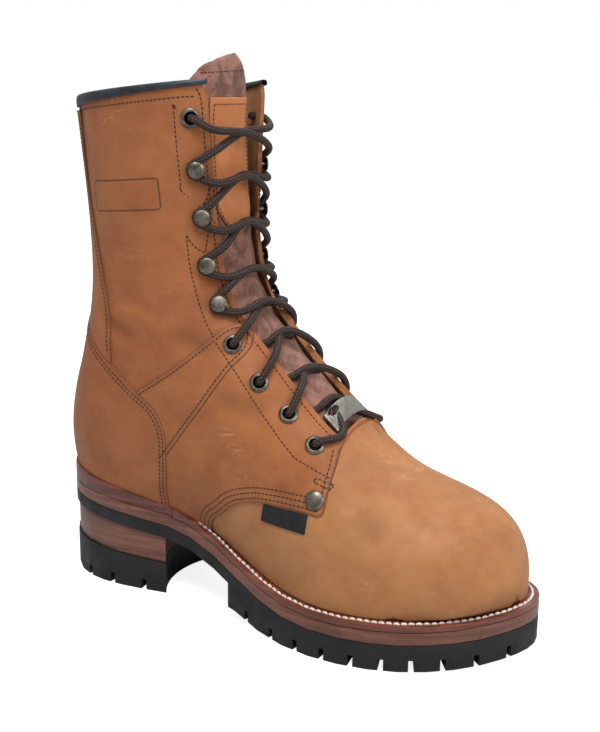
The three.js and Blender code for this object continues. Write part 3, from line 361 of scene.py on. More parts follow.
# %% Other finishes
def plain_finish(name, light, dark, scale, roughness, grain_scale, strength, depth=0.0003, metallic=0.0):
    material, tree, shader = start_material(name, roughness, metallic)
    tree.links.new(use(tree, clouds, Light=colour(light), Dark=colour(dark), Scale=scale), shader.inputs["Base Color"])
    place = add_node(tree, "ShaderNodeTexCoord").outputs["Object"]
    rough = ramp(tree, noise(tree, place, scale * 3), 0.3, 0.7, roughness - 0.08, roughness + 0.1)
    tree.links.new(rough, shader.inputs["Roughness"])
    bump(tree, shader, use(tree, grain, Scale=grain_scale, Pores=0.5), strength, depth)
    return material, tree, shader


RIB_SLANT = 0.6


def layered(name, light, dark, roughness, lines, ribs=0.0):
    material, tree, shader = start_material(name, roughness)
    place = add_node(tree, "ShaderNodeTexCoord").outputs["Object"]
    flat = add_node(tree, "ShaderNodeMapping", Vector=place, Scale=(0.3, 0.3, 14)).outputs[0]
    streaks = noise(tree, flat, lines, 4.0, 0.6)
    base = blend_colour(tree, ramp(tree, streaks, 0.36, 0.66), colour(dark), colour(light))
    tint = use(tree, clouds, Light=(1, 1, 1, 1), Dark=(0.62, 0.55, 0.5, 1), Scale=25.0)
    base = blend_colour(tree, 0.8, base, tint, "MULTIPLY")
    tree.links.new(base, shader.inputs["Base Color"])
    tree.links.new(ramp(tree, streaks, 0.3, 0.7, roughness - 0.1, roughness + 0.12), shader.inputs["Roughness"])
    shader.inputs["Coat Weight"].default_value = 0.25
    shader.inputs["Coat Roughness"].default_value = 0.3
    height = maths(tree, "ADD", streaks, use(tree, grain, Scale=700.0, Pores=0.3))
    if ribs:
        rise = add_node(tree, "ShaderNodeSeparateXYZ", Vector=place).outputs["Z"]
        slanted = maths(tree, "ADD", attribute(tree, "along"), maths(tree, "MULTIPLY", rise, RIB_SLANT / MM))
        wave = maths(tree, "SINE", maths(tree, "MULTIPLY", slanted, 2 * math.pi / ribs))
        height = maths(tree, "ADD", height, maths(tree, "MULTIPLY", wave, 1.2))
        # Painted shade: the colour darkens towards 3A1A14 in the troughs between the ribs.
        tree.links.new(blend_colour(tree, ramp(tree, wave, 0.2, -0.9, 0.0, 0.4), base, colour("3A1A14")),
                       shader.inputs["Base Color"])
    bump(tree, shader, height, 0.5 if ribs else 0.25, 0.0003)
    return material


rubber = plain_finish("black_rubber", "151315", "0A090A", 30.0, 0.6, 500.0, 0.3)[0]
lining = plain_finish("flesh_side", "A9794F", "8A5C38", 25.0, 0.9, 800.0, 0.5)[0]
raw_edge = plain_finish("raw_leather_edge", "B07A4C", "80502D", 90.0, 0.85, 1400.0, 0.6)[0]
binding_finish = plain_finish("binding", "2C3440", "14181F", 60.0, 0.42, 700.0, 0.35)[0]
label_finish = plain_finish("label_cloth", "1B1B1E", "0E0E10", 80.0, 0.8, 1600.0, 0.5)[0]
insole_finish = plain_finish("insole_board", "A07A52", "7E5B3A", 30.0, 0.85, 600.0, 0.4)[0]
thread_dark = plain_finish("thread_dark", "38241B", "1E120D", 200.0, 0.6, 2500.0, 0.4)[0]
thread_white = plain_finish("thread_white", "EDE6DC", "CFC3B4", 200.0, 0.55, 2500.0, 0.4)[0]
suede, suede_tree, suede_shader = plain_finish("mauve_suede", "A97664", "694337", 75.0, 0.95, 1300.0, 0.9, 0.0006)
suede_shader.inputs["Sheen Weight"].default_value = 0.15
pewter = plain_finish("antique_pewter", "857E72", "534C43", 160.0, 0.4, 900.0, 0.12, metallic=1.0)[0]
# Painted shade: a near-black metal for the closed middle of each eyelet and its inner rim, standing in for the shaded
# hole.
hole_shade_metal = plain_finish("eyelet_hole_shade", "14110F", "0A0908", 160.0, 0.5, 900.0, 0.12, metallic=1.0)[0]
silver = plain_finish("brushed_plate", "CFCBC4", "B5B0A8", 120.0, 0.3, 1200.0, 0.15, metallic=1.0)[0]
stack = layered("stacked_leather", "885645", "643B2F", 0.45, 40.0)
welt_finish = layered("welt_leather", "8A4C39", "602E23", 0.36, 40.0)
rand_finish = layered("rand_leather", "8A4C39", "602E23", 0.4, 40.0, ribs=1.6)
pale = plain_finish("pale_floor", "C6C6C6", "C2C2C2", 2.0, 0.9, 40.0, 0.02)[0]
pale_shader = pale.node_tree.nodes["Principled BSDF"]
pale_shader.inputs["Emission Color"].default_value = (1, 1, 1, 1)
seen = add_node(pale.node_tree, "ShaderNodeLightPath").outputs["Is Camera Ray"]
glow = maths(pale.node_tree, "MULTIPLY", seen, FLOOR_GLOW)
pale.node_tree.links.new(glow, pale_shader.inputs["Emission Strength"])
floor.data.materials.append(pale)
print("finishes", len(bpy.data.materials))

# %% [markdown]
# Pieces that keep the frame's form start as a copy of the CAD node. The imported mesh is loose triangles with
# stored normals, so the copy is merged, its triangles are paired into quads and the normals are cleared.

# %% Copies of CAD nodes
MERGE = 0.00002


def only(piece):
    bpy.ops.object.select_all(action="DESELECT")
    piece.select_set(True)
    bpy.context.view_layer.objects.active = piece


def copy_of(node, name, pairing=60):
    mesh = nodes[node].data.copy()
    mesh.name = name
    mesh.materials.clear()
    piece = bpy.data.objects.new(name, mesh)
    scene.collection.objects.link(piece)
    only(piece)
    bpy.ops.mesh.customdata_custom_splitnormals_clear()
    bpy.ops.object.mode_set(mode="EDIT")
    bpy.ops.mesh.select_all(action="SELECT")
    bpy.ops.mesh.remove_doubles(threshold=MERGE)
    if pairing:
        limit = math.radians(pairing)
        bpy.ops.mesh.tris_convert_to_quads(face_threshold=limit, shape_threshold=2 * limit)
    bpy.ops.object.mode_set(mode="OBJECT")
    return piece


def apply(piece, kind, **settings):
    only(piece)
    made = piece.modifiers.new(kind.lower(), kind)
    for key, value in settings.items():
        setattr(made, key, value)
    bpy.ops.object.modifier_apply(modifier=made.name)


def vertices(mesh):
    found = np.empty(len(mesh.vertices) * 3, np.float32)
    mesh.vertices.foreach_get("co", found)
    return found.reshape(-1, 3).astype(float)


def normals(mesh):
    found = np.empty(len(mesh.vertices) * 3, np.float32)
    mesh.vertices.foreach_get("normal", found)
    return found.reshape(-1, 3).astype(float)


def move_to(mesh, places):
    mesh.vertices.foreach_set("co", places.astype(np.float32).ravel())
    mesh.update()


def store(mesh, name, values):
    layer = mesh.attributes.get(name) or mesh.attributes.new(name, "FLOAT", "POINT")
    layer.data.foreach_set("value", np.asarray(values, np.float32))


def smooth(piece, degrees=None):
    only(piece)
    if degrees is None:
        bpy.ops.object.shade_smooth()
    else:
        bpy.ops.object.shade_smooth_by_angle(angle=math.radians(degrees))


def settle(piece, slot_name, *replaced):
    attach(piece, "root")
    if replaced:
        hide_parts(*replaced)
    return piece


def mesh_piece(name, places, faces):
    mesh = bpy.data.meshes.new(name)
    mesh.from_pydata([tuple(p) for p in places], [], faces)
    piece = bpy.data.objects.new(name, mesh)
    scene.collection.objects.link(piece)
    return piece


# %% [markdown]
# The upper is one hollow leather form. The CAD cage has the right shape but flat faces, so a subdivision surface
# rounds it, with its cut edges creased to stay crisp. Flood filling from one outer face tells the grain side from
# the flesh side, and each gets its own finish.

# %% Upper cage
UPPER_LEVELS = 2
SKIN_LEVELS = 3


def mark_rims(mesh, narrow=3.6 * MM, sharp=math.radians(50)):
    """The cut faces round the openings are narrow and meet the walls at sharp edges."""
    beside = {}
    for face in mesh.polygons:
        for key in face.edge_keys:
            beside.setdefault(key, []).append(face)
    for face in mesh.polygons:
        turns = [other.normal.angle(face.normal, 0) for key in face.edge_keys for other in beside[key]]
        corners = [mesh.vertices[v].co for v in face.vertices]
        longest = max((a - b).length for a, b in zip(corners, corners[1:] + corners[:1]))
        face.material_index = 1 if max(turns) > sharp and face.area / longest < narrow else 0


def flood(piece, seed, slot_index):
    mesh = piece.data
    for kind in (mesh.vertices, mesh.edges):
        kind.foreach_set("select", [False] * len(kind))
    mesh.polygons.foreach_set("select", [i == seed for i in range(len(mesh.polygons))])
    mesh.update()
    only(piece)
    bpy.context.tool_settings.mesh_select_mode = (False, False, True)
    bpy.ops.object.mode_set(mode="EDIT")
    bpy.ops.mesh.select_linked(delimit={"MATERIAL"})
    bpy.ops.object.mode_set(mode="OBJECT")
    for face in mesh.polygons:
        if face.select:
            face.material_index = slot_index


def crease_rims(mesh):
    finishes = {}
    for face in mesh.polygons:
        for key in face.edge_keys:
            finishes.setdefault(key, set()).add(face.material_index)
    layer = mesh.attributes.new("crease_edge", "FLOAT", "EDGE")
    for edge in mesh.edges:
        layer.data[edge.index].value = 1.0 if len(finishes.get(edge.key, ())) > 1 else 0.0


upper = copy_of("upper", "upper_leather")
for finish in (upper_leather, raw_edge, lining):
    upper.data.materials.append(finish)
mark_rims(upper.data)
centres = np.array([f.center[:] for f in upper.data.polygons])
outermost = upper.data.polygons[int(np.argmin(centres[:, 1]))]
reach = np.linalg.norm(centres - np.array(outermost.center + outermost.normal * -2.4 * MM), axis=1)
facing = np.array([f.normal.dot(outermost.normal) for f in upper.data.polygons])
flood(upper, int(np.argmin(np.where(facing < -0.5, reach, 9))), 2)
crease_rims(upper.data)
print("upper cage", len(upper.data.polygons), [sum(f.material_index == i for f in upper.data.polygons) for i in range(3)])

# %% [markdown]
# A worn-in shaft is never a perfect tube. Soft troughs run across the ankle and behind it, and a shallow one
# crosses the vamp. Each is a line in the side view with a width and a depth in millimetres, and a trough has a low
# ridge on each side. The same formula moves the upper and everything sewn to it.

# %% Creases
CREASES = [
    # side (-1 outer, 1 inner), start x and z, end x and z, half width, depth, all in millimetres
    (-1, 6, 172, 34, 157, 5.5, 0.9),
    (-1, 10, 186, 30, 178, 5.0, 0.5),
    (-1, 52, 168, 84, 156, 7.0, 0.8),
    (-1, 66, 186, 96, 176, 7.0, 0.6),
    (-1, 84, 132, 120, 128, 8.0, 0.7),
    (-1, 128, 92, 150, 74, 8.0, 0.6),
    (-1, 176, 84, 196, 66, 7.0, 0.5),
    (1, 4, 176, 34, 160, 5.5, 0.9),
    (1, 50, 170, 88, 158, 7.0, 0.9),
    (1, 70, 190, 100, 180, 7.0, 0.6),
    (1, 92, 130, 126, 120, 8.0, 0.8),
    (1, 150, 100, 172, 70, 8.0, 0.7),
]


def crease_depth(places):
    total = np.zeros(len(places))
    for side, x0, z0, x1, z1, half, depth in CREASES:
        a, b = np.array([x0, z0]) * MM, np.array([x1, z1]) * MM
        run = b - a
        flat = places[:, [0, 2]]
        t = ((flat - a) @ run) / (run @ run)
        across = np.abs((flat - a) @ np.array([-run[1], run[0]]) / np.linalg.norm(run)) / (half * MM)
        fade = np.exp(-((t - 0.5) / 0.42) ** 4)
        shape = np.exp(-across ** 2) - 0.45 * np.exp(-((across - 1.9) / 0.8) ** 2)
        total += shape * fade * depth * MM * (np.sign(places[:, 1]) == side)
    return total


def press(mesh):
    depth = crease_depth(vertices(mesh))
    move_to(mesh, vertices(mesh) - normals(mesh) * depth[:, None])
    store(mesh, "fold", np.clip(depth / (0.9 * MM), 0, 1))


skin = bpy.data.objects.new("skin", upper.data.copy())
scene.collection.objects.link(skin)
apply(upper, "SUBSURF", levels=UPPER_LEVELS, render_levels=UPPER_LEVELS)
press(upper.data)
smooth(upper, 50)
apply(skin, "SUBSURF", levels=SKIN_LEVELS, render_levels=SKIN_LEVELS)
skin.data.polygons.foreach_set("select", [f.material_index != 0 for f in skin.data.polygons])
only(skin)
bpy.ops.object.mode_set(mode="EDIT")
bpy.ops.mesh.delete(type="FACE")
bpy.ops.object.mode_set(mode="OBJECT")
press(skin.data)
settle(upper, "upper_leather", "upper")
print("upper", len(upper.data.polygons), "skin", len(skin.data.polygons))

# %% [markdown]
# Counter, backstay, ankle bands and quarters are cut from a second skin that lies on the upper. Their edges are
# drawn in the side view as smooth lines through a few points, given as shares of the sole's length and of the
# instep's height. A boolean keeps what lies inside the outline, as a clicking knife would.

# %% Outlines of the overlays
COUNTER_EDGE = [(-0.07, 1.01), (0.03, 1.0), (0.08, 0.965), (0.126, 0.91), (0.186, 0.822), (0.238, 0.748), (0.275, 0.707),
                (0.299, 0.65), (0.3075, 0.587), (0.302, 0.47), (0.294, 0.35), (0.294, 0.1)]
BACKSTAY_EDGE = [(0.18, 0.83), (0.182, 0.9), (0.178, 1.03), (0.1595, 1.13), (0.134, 1.257), (0.111, 1.383),
                 (0.104, 1.468), (0.1, 1.6), (0.098, 1.9)]
BAND_TOP = [(0.22, 0.72), (0.242, 0.7485), (0.327, 0.852), (0.399, 0.96), (0.42, 0.996), (0.445, 1.01), (0.466, 0.985)]
BAND_LOW = [(0.466, 0.985), (0.468, 0.93), (0.4405, 0.861), (0.396, 0.742), (0.342, 0.616), (0.3215, 0.57), (0.29, 0.5)]
QUARTER_EDGE = [(0.385, 0.1), (0.392, 0.27), (0.405, 0.33), (0.434, 0.371), (0.46, 0.412), (0.491, 0.44), (0.54, 0.461),
                (0.617, 0.4626), (0.6525, 0.4573)]
QUARTER_FRONT = [(0.6525, 0.4573), (0.6625, 0.468), (0.6625, 0.545), (0.6614, 0.595), (0.657, 0.645)]
LABEL_EDGE = [(0.5345, 0.397), (0.6325, 0.392), (0.634, 0.453), (0.54, 0.454)]


def drawn(rows):
    return np.array([(x * SOLE_LENGTH - HEEL_REST, z * INSTEP) for x, z in rows])


def curve_through(points, parts=6):
    points = np.asarray(points, float)
    ends = np.vstack([2 * points[0] - points[1], points, 2 * points[-1] - points[-2]])
    made = []
    for a, b, c, d in zip(ends, ends[1:], ends[2:], ends[3:]):
        for t in np.arange(parts) / parts:
            made.append(0.5 * (2 * b + (c - a) * t + (2 * a - 5 * b + 4 * c - d) * t ** 2 + (3 * b - a - 3 * c + d) * t ** 3))
    return np.vstack([made, points[-1:]])


def beside(line, distance):
    along = np.gradient(line, axis=0)
    along /= np.linalg.norm(along, axis=1)[:, None]
    return line + np.stack([-along[:, 1], along[:, 0]], 1) * distance


def line_distance(places, line):
    best = np.full(len(places), 9.0)
    for a, b in zip(line, line[1:]):
        run = b - a
        t = np.clip(((places - a) @ run) / max(run @ run, 1e-12), 0, 1)
        best = np.minimum(best, np.linalg.norm(places - a - t[:, None] * run, axis=1))
    return best


counter_line = curve_through(drawn(COUNTER_EDGE))
backstay_line = curve_through(drawn(BACKSTAY_EDGE))
band_top = curve_through(drawn(BAND_TOP))
band_low = curve_through(drawn(BAND_LOW))
quarter_line = curve_through(drawn(QUARTER_EDGE))
quarter_front = curve_through(drawn(QUARTER_FRONT), 3)
SEAM = 0.3 * MM


# %% Cutting an overlay from the skin
FAR = 0.4
EDGE_SHARE = 0.8


def cutter(name, outline):
    bpy.ops.object.select_all(action="DESELECT")
    bpy.ops.mesh.primitive_circle_add(vertices=len(outline), radius=FAR, fill_type="NGON")
    blade = bpy.context.object
    blade.name = name
    move_to(blade.data, np.array([(x, -FAR, z) for x, z in outline]))
    bpy.ops.object.mode_set(mode="EDIT")
    bpy.ops.mesh.select_all(action="SELECT")
    bpy.ops.mesh.extrude_region_move(TRANSFORM_OT_translate={"value": (0, 2 * FAR, 0)})
    bpy.ops.mesh.select_all(action="SELECT")
    bpy.ops.mesh.normals_make_consistent(inside=False)
    bpy.ops.object.mode_set(mode="OBJECT")
    return blade


def shell_on_skin(name, wall, low, high, edges, thin=1.4):
    piece = bpy.data.objects.new(name, skin.data.copy())
    scene.collection.objects.link(piece)
    places = vertices(piece.data)
    drop = []
    for face in piece.data.polygons:
        centre = face.center
        drop.append(not (low[0] < centre.x < high[0] and low[1] < centre.z < high[1]))
    piece.data.polygons.foreach_set("select", drop)
    only(piece)
    bpy.ops.object.mode_set(mode="EDIT")
    bpy.ops.mesh.delete(type="FACE")
    bpy.ops.mesh.select_all(action="SELECT")
    bpy.ops.transform.shrink_fatten(value=-SEAM)
    bpy.ops.object.mode_set(mode="OBJECT")
    places = vertices(piece.data)
    near = np.min([line_distance(places[:, [0, 2]], edge) for edge in edges], axis=0)
    height = EDGE_SHARE + (1 - EDGE_SHARE) * np.clip(near / (thin * MM), 0, 1)
    group = piece.vertex_groups.new(name="height")
    for i, value in enumerate(height):
        group.add([i], float(value), "REPLACE")
    apply(piece, "SOLIDIFY", thickness=wall + 2 * SEAM, offset=1, vertex_group="height", use_even_offset=False)
    return piece


def overlay(name, wall, outlines, edges, node_names, slot_name="upper_leather", finish=None, side=0):
    points = np.asarray(outlines[0])
    margin = 6 * MM
    piece = shell_on_skin(name, wall, points.min(0) - margin, points.max(0) + margin, edges)
    blades = [cutter(f"{name}_blade_{i}", outline) for i, outline in enumerate(outlines)]
    if side:
        half = np.array([(-FAR, -FAR), (FAR, -FAR), (FAR, FAR), (-FAR, FAR)])
        blade = cutter(f"{name}_side", half)
        flat = vertices(blade.data)
        flat[:, 1] = np.where(flat[:, 1] < 0, min(side * FAR, 0), max(side * FAR, 0))
        move_to(blade.data, flat)
        blades.append(blade)
    for blade in blades:
        apply(piece, "BOOLEAN", operation="INTERSECT", object=blade, solver="MANIFOLD")
        bpy.data.objects.remove(blade)
    piece.data.materials.clear()
    piece.data.materials.append(finish or overlay_leather)
    for face in piece.data.polygons:
        face.material_index = 0
    flat = vertices(piece.data)[:, [0, 2]]
    store(piece.data, "rim", np.min([line_distance(flat, edge) for edge in edges], axis=0) / MM)
    smooth(piece, 38)
    settle(piece, slot_name, *node_names)
    print(name, len(piece.data.polygons))
    return piece


# %% [markdown]
# The counter goes on first, then the backstay, the bands and the quarters, each stopping at the seam of the one
# before it.

# %% Overlays
BELOW, ABOVE, BEHIND, AHEAD = 0.0, 0.36, -0.09, 0.3
counter_outline = np.vstack([[(BEHIND, BELOW), (counter_line[-1][0], BELOW)], counter_line[::-1]])
clear_line = beside(counter_line, SEAM)
clear_of_counter = np.vstack([clear_line, [(AHEAD, BELOW), (AHEAD, ABOVE), (BEHIND, ABOVE)]])
binding_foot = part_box("collar_binding")[0].z - 0.6 * MM
upright = backstay_line[backstay_line[:, 1] < binding_foot]
backstay_outline = np.vstack([upright, [(upright[-1][0], binding_foot), (BEHIND, binding_foot), (BEHIND, upright[0][1])]])
band_outline = np.vstack([band_top, band_low[1:]])
quarter_outline = np.vstack([quarter_line, quarter_front[1:], [(quarter_front[-1][0], band_low[0][1])],
                             beside(band_low, SEAM), [(band_low[-1][0], BELOW)]])
overlay("counter_leather", 1.6 * MM, [counter_outline], [counter_line], ["counter"])
overlay("backstay_leather", 1.2 * MM, [backstay_outline, clear_of_counter], [backstay_line], ["backstay"])
overlay("ankle_bands", 1.6 * MM, [band_outline, clear_of_counter], [band_top, band_low],
        ["ankle_band_outer", "ankle_band_inner"])
overlay("quarter_leather", 1.2 * MM, [quarter_outline, clear_of_counter], [quarter_line, quarter_front],
        ["quarter_outer", "quarter_inner"])
overlay("side_tag", 0.7 * MM, [drawn(LABEL_EDGE)], [drawn([*LABEL_EDGE, LABEL_EDGE[0]])], ["side_label"], "label",
        label_finish, -1)


# %% [markdown]
# The collar is bound with a folded strip, and the tongue is suede with a leather patch. Both follow their CAD
# solids. The strip is rounded by a subdivision surface. The tongue is remeshed finely, which rounds its edges as
# in soft suede, smoothed, and then gets a centre seam and soft waves.

# %% Binding, tongue and insole
def soft_copy(node, name, voxel, rounds, finish, slot_name):
    piece = copy_of(node, name, 0)
    apply(piece, "REMESH", mode="VOXEL", voxel_size=voxel, adaptivity=0.0)
    apply(piece, "SMOOTH", factor=0.5, iterations=rounds)
    piece.data.materials.clear()
    piece.data.materials.append(finish)
    smooth(piece)
    settle(piece, slot_name, node)
    print(name, len(piece.data.polygons))
    return piece


binding = copy_of("collar_binding", "collar_binding_strip")
apply(binding, "SUBSURF", levels=2, render_levels=2)
binding.data.materials.append(binding_finish)
smooth(binding)
settle(binding, "binding", "collar_binding")

tongue = soft_copy("tongue", "tongue_suede", 1.1 * MM, 14, suede, "tongue_suede")
TONGUE_SEAM = 0.55 * MM


def shape_tongue():
    places, facing = vertices(tongue.data), normals(tongue.data)
    middle = (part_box("tongue")[0].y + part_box("tongue")[1].y) / 2
    groove = np.exp(-((places[:, 1] - middle) / (0.9 * MM)) ** 2) * (places[:, 2] < 0.225)
    waves = 0.5 * MM * np.sin(places[:, 2] * 2 * math.pi / 0.023 + 2.2 * np.sin(places[:, 1] * 70))
    waves *= np.clip((0.235 - places[:, 2]) / 0.03, 0, 1)
    front = facing[:, 0] > 0
    amount = np.where(front, waves - groove * TONGUE_SEAM, 0)
    move_to(tongue.data, places + facing * amount[:, None])
    store(tongue.data, "fold", groove)


shape_tongue()
patch = soft_copy("tongue_patch", "tongue_leather_patch", 0.6 * MM, 4, patch_leather, "upper_leather")
store(patch.data, "rim", np.full(len(patch.data.vertices), 6.0))
insole = copy_of("insole", "insole_board")
apply(insole, "BEVEL", width=0.8 * MM, segments=2, limit_method="ANGLE")
insole.data.materials.append(insole_finish)
smooth(insole, 40)
settle(insole, "insole", "insole")

# %% [markdown]
# The sole stack is a logger's: a rubber outsole with deep lugs, a midsole, a welt with its stitching ledge, a
# rand round the heel, and a stacked heel with a rubber cap. A small bevel takes the razor edge off each piece, as
# the grinding wheel does.

# %% Sole pieces
def trimmed(node, name, finish, slot_name, width=0.5, angle=38):
    piece = copy_of(node, name)
    apply(piece, "BEVEL", width=width * MM, segments=2, limit_method="ANGLE", angle_limit=math.radians(30))
    piece.data.materials.append(finish)
    smooth(piece, angle)
    settle(piece, slot_name, node)
    print(name, len(piece.data.polygons))
    return piece


trimmed("outsole", "rubber_outsole", rubber, "rubber", 0.5)
trimmed("heel_cap", "rubber_heel_cap", rubber, "rubber", 0.6)
trimmed("heel_block", "stacked_heel", stack, "stacked_leather", 0.4)
trimmed("midsole", "leather_midsole", stack, "stacked_leather", 0.6)
welt = trimmed("welt", "leather_welt", welt_finish, "welt", 0.5)
rand = trimmed("heel_rand", "ribbed_rand", rand_finish, "welt", 0.5)


# %% [markdown]
# The welt's stitching and the rand's ribs follow the sole's outline. In the plan view, steps outwards from a spine
# find the last point that still has the piece under it.

# %% Outline of a sole piece
SPINE_BACK, SPINE_FRONT = 0.0, 0.19


def outline_of(piece, stations=150, step=0.6 * MM):
    tree = tree_of(piece)
    line = []
    for i in range(stations + 1):
        turn = math.pi * (2 * i / stations)
        lean = Vector((math.cos(turn), math.sin(turn), 0))
        start = Vector((SPINE_FRONT if lean.x > 0 else SPINE_BACK, 0, 0))
        if abs(lean.x) < 0.999:
            along = (0.5 + 0.5 * math.copysign(abs(lean.x) ** 0.8, lean.x))
            start.x = SPINE_BACK + (SPINE_FRONT - SPINE_BACK) * along
        best = None
        for k in range(20, 150):
            at = start + lean * (k * step)
            hit = tree.ray_cast(Vector((at.x, at.y, 0.2)), Vector((0, 0, -1)))[0]
            if hit is not None:
                best = hit
        line.append(best)
    return line


def tree_of(*pieces):
    places, faces, base = [], [], 0
    for piece in pieces:
        mesh = piece.data
        places += [v.co.copy() for v in mesh.vertices]
        faces += [[base + i for i in f.vertices] for f in mesh.polygons]
        base += len(mesh.vertices)
    return BVHTree.FromPolygons(places, faces)


# %% [markdown]
# Stitches and hardware sit on whatever leather is topmost, so one search tree over the upper and its overlays
# finds the surface under any point.

# %% Top surface of the leather
leather_names = ["upper_leather", "counter_leather", "backstay_leather", "ankle_bands", "quarter_leather"]
top = tree_of(*[bpy.data.objects[n] for n in leather_names])
form = tree_of(skin)


def on_top(point, normal, height=9 * MM):
    hit, facing, _, _ = top.ray_cast(Vector(point) + Vector(normal) * height, -Vector(normal), 2 * height)
    if hit is None:
        hit, facing, _, _ = top.find_nearest(Vector(point))
    return hit, facing


def from_side(x, z, side):
    hit, facing, _, _ = top.ray_cast(Vector((x, side * FAR, z)), Vector((0, -side, 0)))
    if hit is None:
        return None
    smooth_facing = form.find_nearest(hit)[1]
    return hit, smooth_facing


# %% Edge of the throat
def boundary_loops(mesh):
    count = {}
    for face in mesh.polygons:
        for key in face.edge_keys:
            count[key] = count.get(key, 0) + 1
    links = {}
    for (a, b), n in count.items():
        if n == 1:
            links.setdefault(a, []).append(b)
            links.setdefault(b, []).append(a)
    loops, seen = [], set()
    for start in links:
        if start in seen:
            continue
        loop, here = [start], start
        seen.add(start)
        while True:
            following = [v for v in links[here] if v not in seen]
            if not following:
                break
            here = following[0]
            seen.add(here)
            loop.append(here)
        loops.append(loop)
    return loops


places = vertices(skin.data)
loops = sorted(boundary_loops(skin.data), key=lambda loop: -places[loop][:, 2].max())
rim_loop = places[loops[0]]
score = rim_loop[:, 2] + 0.3 * rim_loop[:, 0]
corners = [int(np.argmax(np.where(np.sign(rim_loop[:, 1]) == side, score, -9))) for side in (-1, 1)]
rim_loop = np.roll(rim_loop, -corners[0], axis=0)
split = (corners[1] - corners[0]) % len(rim_loop)
halves = [rim_loop[:split + 1], np.vstack([rim_loop[split:], rim_loop[:1]])[::-1]]
throat_line = max(halves, key=lambda half: half[:, 0].max())
collar_line = min(halves, key=lambda half: half[:, 0].max())


def even(line, step):
    """The same line in equal steps. Columns after the third, such as a normal, are carried along."""
    line = np.asarray(line, float)
    gone = np.concatenate([[0], np.cumsum(np.linalg.norm(np.diff(line[:, :3], axis=0), axis=1))])
    count = max(int(round(gone[-1] / step)), 1)
    at = np.linspace(0, gone[-1], count + 1)
    return np.stack([np.interp(at, gone, line[:, i]) for i in range(line.shape[1])], 1)


throat_line = even(throat_line, 1 * MM)
lowest = {side: int(np.argmax(np.where(np.sign(throat_line[:, 1]) == side, throat_line[:, 0] + abs(throat_line[:, 1]), -9)))
          for side in (-1, 1)}
facing_edge = {-1: throat_line[:lowest[-1] + 1][::-1], 1: throat_line[lowest[1]:]}
for side in (-1, 1):
    if facing_edge[side][0][2] > facing_edge[side][-1][2]:
        facing_edge[side] = facing_edge[side][::-1]
print("throat", len(throat_line), "facings", [len(facing_edge[s]) for s in (-1, 1)], "collar", len(collar_line))


# %% [markdown]
# Eyelets, speed hooks and rivets are turned parts. One quarter-section of each is spun round its axis, and copies
# are set on the leather along its normal, at the places of their CAD nodes.

# %% Turned hardware
def spun(name, profile, steps=28):
    bpy.ops.object.select_all(action="DESELECT")
    bpy.ops.mesh.primitive_plane_add(size=1)
    piece = bpy.context.object
    piece.name = name
    bpy.ops.object.mode_set(mode="EDIT")
    bpy.ops.mesh.select_all(action="SELECT")
    bpy.ops.mesh.delete(type="ONLY_FACE")
    bpy.ops.mesh.select_all(action="SELECT")
    bpy.ops.mesh.delete(type="VERT")
    bpy.ops.object.mode_set(mode="OBJECT")
    piece.data.vertices.add(len(profile))
    piece.data.edges.add(len(profile) - 1)
    for i, (r, h) in enumerate(profile):
        piece.data.vertices[i].co = (r * MM, 0, h * MM)
        if i:
            piece.data.edges[i - 1].vertices = (i - 1, i)
    piece.data.update()
    bpy.ops.object.mode_set(mode="EDIT")
    bpy.ops.mesh.select_all(action="SELECT")
    bpy.ops.mesh.spin(steps=steps, angle=2 * math.pi, center=(0, 0, 0), axis=(0, 0, 1))
    bpy.ops.mesh.select_all(action="SELECT")
    bpy.ops.mesh.remove_doubles(threshold=MERGE)
    bpy.ops.mesh.normals_make_consistent(inside=False)
    bpy.ops.object.mode_set(mode="OBJECT")
    return piece


def arc(centre, radius, start, end, parts=5):
    angles = np.radians(np.linspace(start, end, parts + 1))
    return [(centre[0] + radius * math.cos(a), centre[1] + radius * math.sin(a)) for a in angles]


EYELET_OUT, EYELET_IN = 5.6, 3.4
washer = spun("eyelet_master", [(0, 0.15), (EYELET_IN - 0.3, 0.15), *arc((EYELET_IN + 0.5, 0.75), 0.7, 200, 60),
                                *arc((EYELET_OUT - 0.7, 0.35), 0.65, 75, -20), (EYELET_OUT - 0.3, -0.4), (0, -0.9)])
button = spun("hook_master", [(0, -0.6), (3.4, -0.6), (3.4, 0.3), (1.7, 0.9), (1.6, 4.7), (3.2, 4.9), (4.2, 5.0),
                              *arc((4.2, 5.5), 0.5, -80, 60), (3.2, 6.25), (1.6, 6.5), (0, 6.55)])
stud = spun("rivet_master", [(0, -0.6), (5.2, -0.6), *arc((4.9, 0.5), 0.5, -40, 60), (3.4, 1.6), (1.7, 1.95), (0, 2.05)])
print("turned", len(washer.data.polygons), len(button.data.polygons), len(stud.data.polygons))


# %% Places of the hardware
def centre_of(node):
    low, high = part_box(node)
    return (low + high) / 2


def turn_to(normal):
    return Vector(normal).to_track_quat("Z", "X").to_matrix().to_4x4()


def seat_of(node):
    near, facing, _, _ = form.find_nearest(centre_of(node))
    hit, _ = on_top(near, facing)
    return hit, facing


def set_on(master, node, finish, name):
    point, facing = seat_of(node)
    mesh = master.data.copy()
    mesh.transform(Matrix.Translation(point) @ turn_to(facing))
    piece = bpy.data.objects.new(name, mesh)
    scene.collection.objects.link(piece)
    mesh.materials.append(finish)
    mesh.materials.append(hole_shade_metal)
    for face in mesh.polygons:
        away = (Vector(face.center) - point)
        flat = away - facing * away.dot(facing)
        # The eyelet's closed middle and inner rim take the near-black metal as painted shade for the hole.
        if master is washer and flat.length < (EYELET_IN + 0.1) * MM:
            face.material_index = 1
    smooth(piece, 50)
    settle(piece, "pewter", node)
    return point, facing


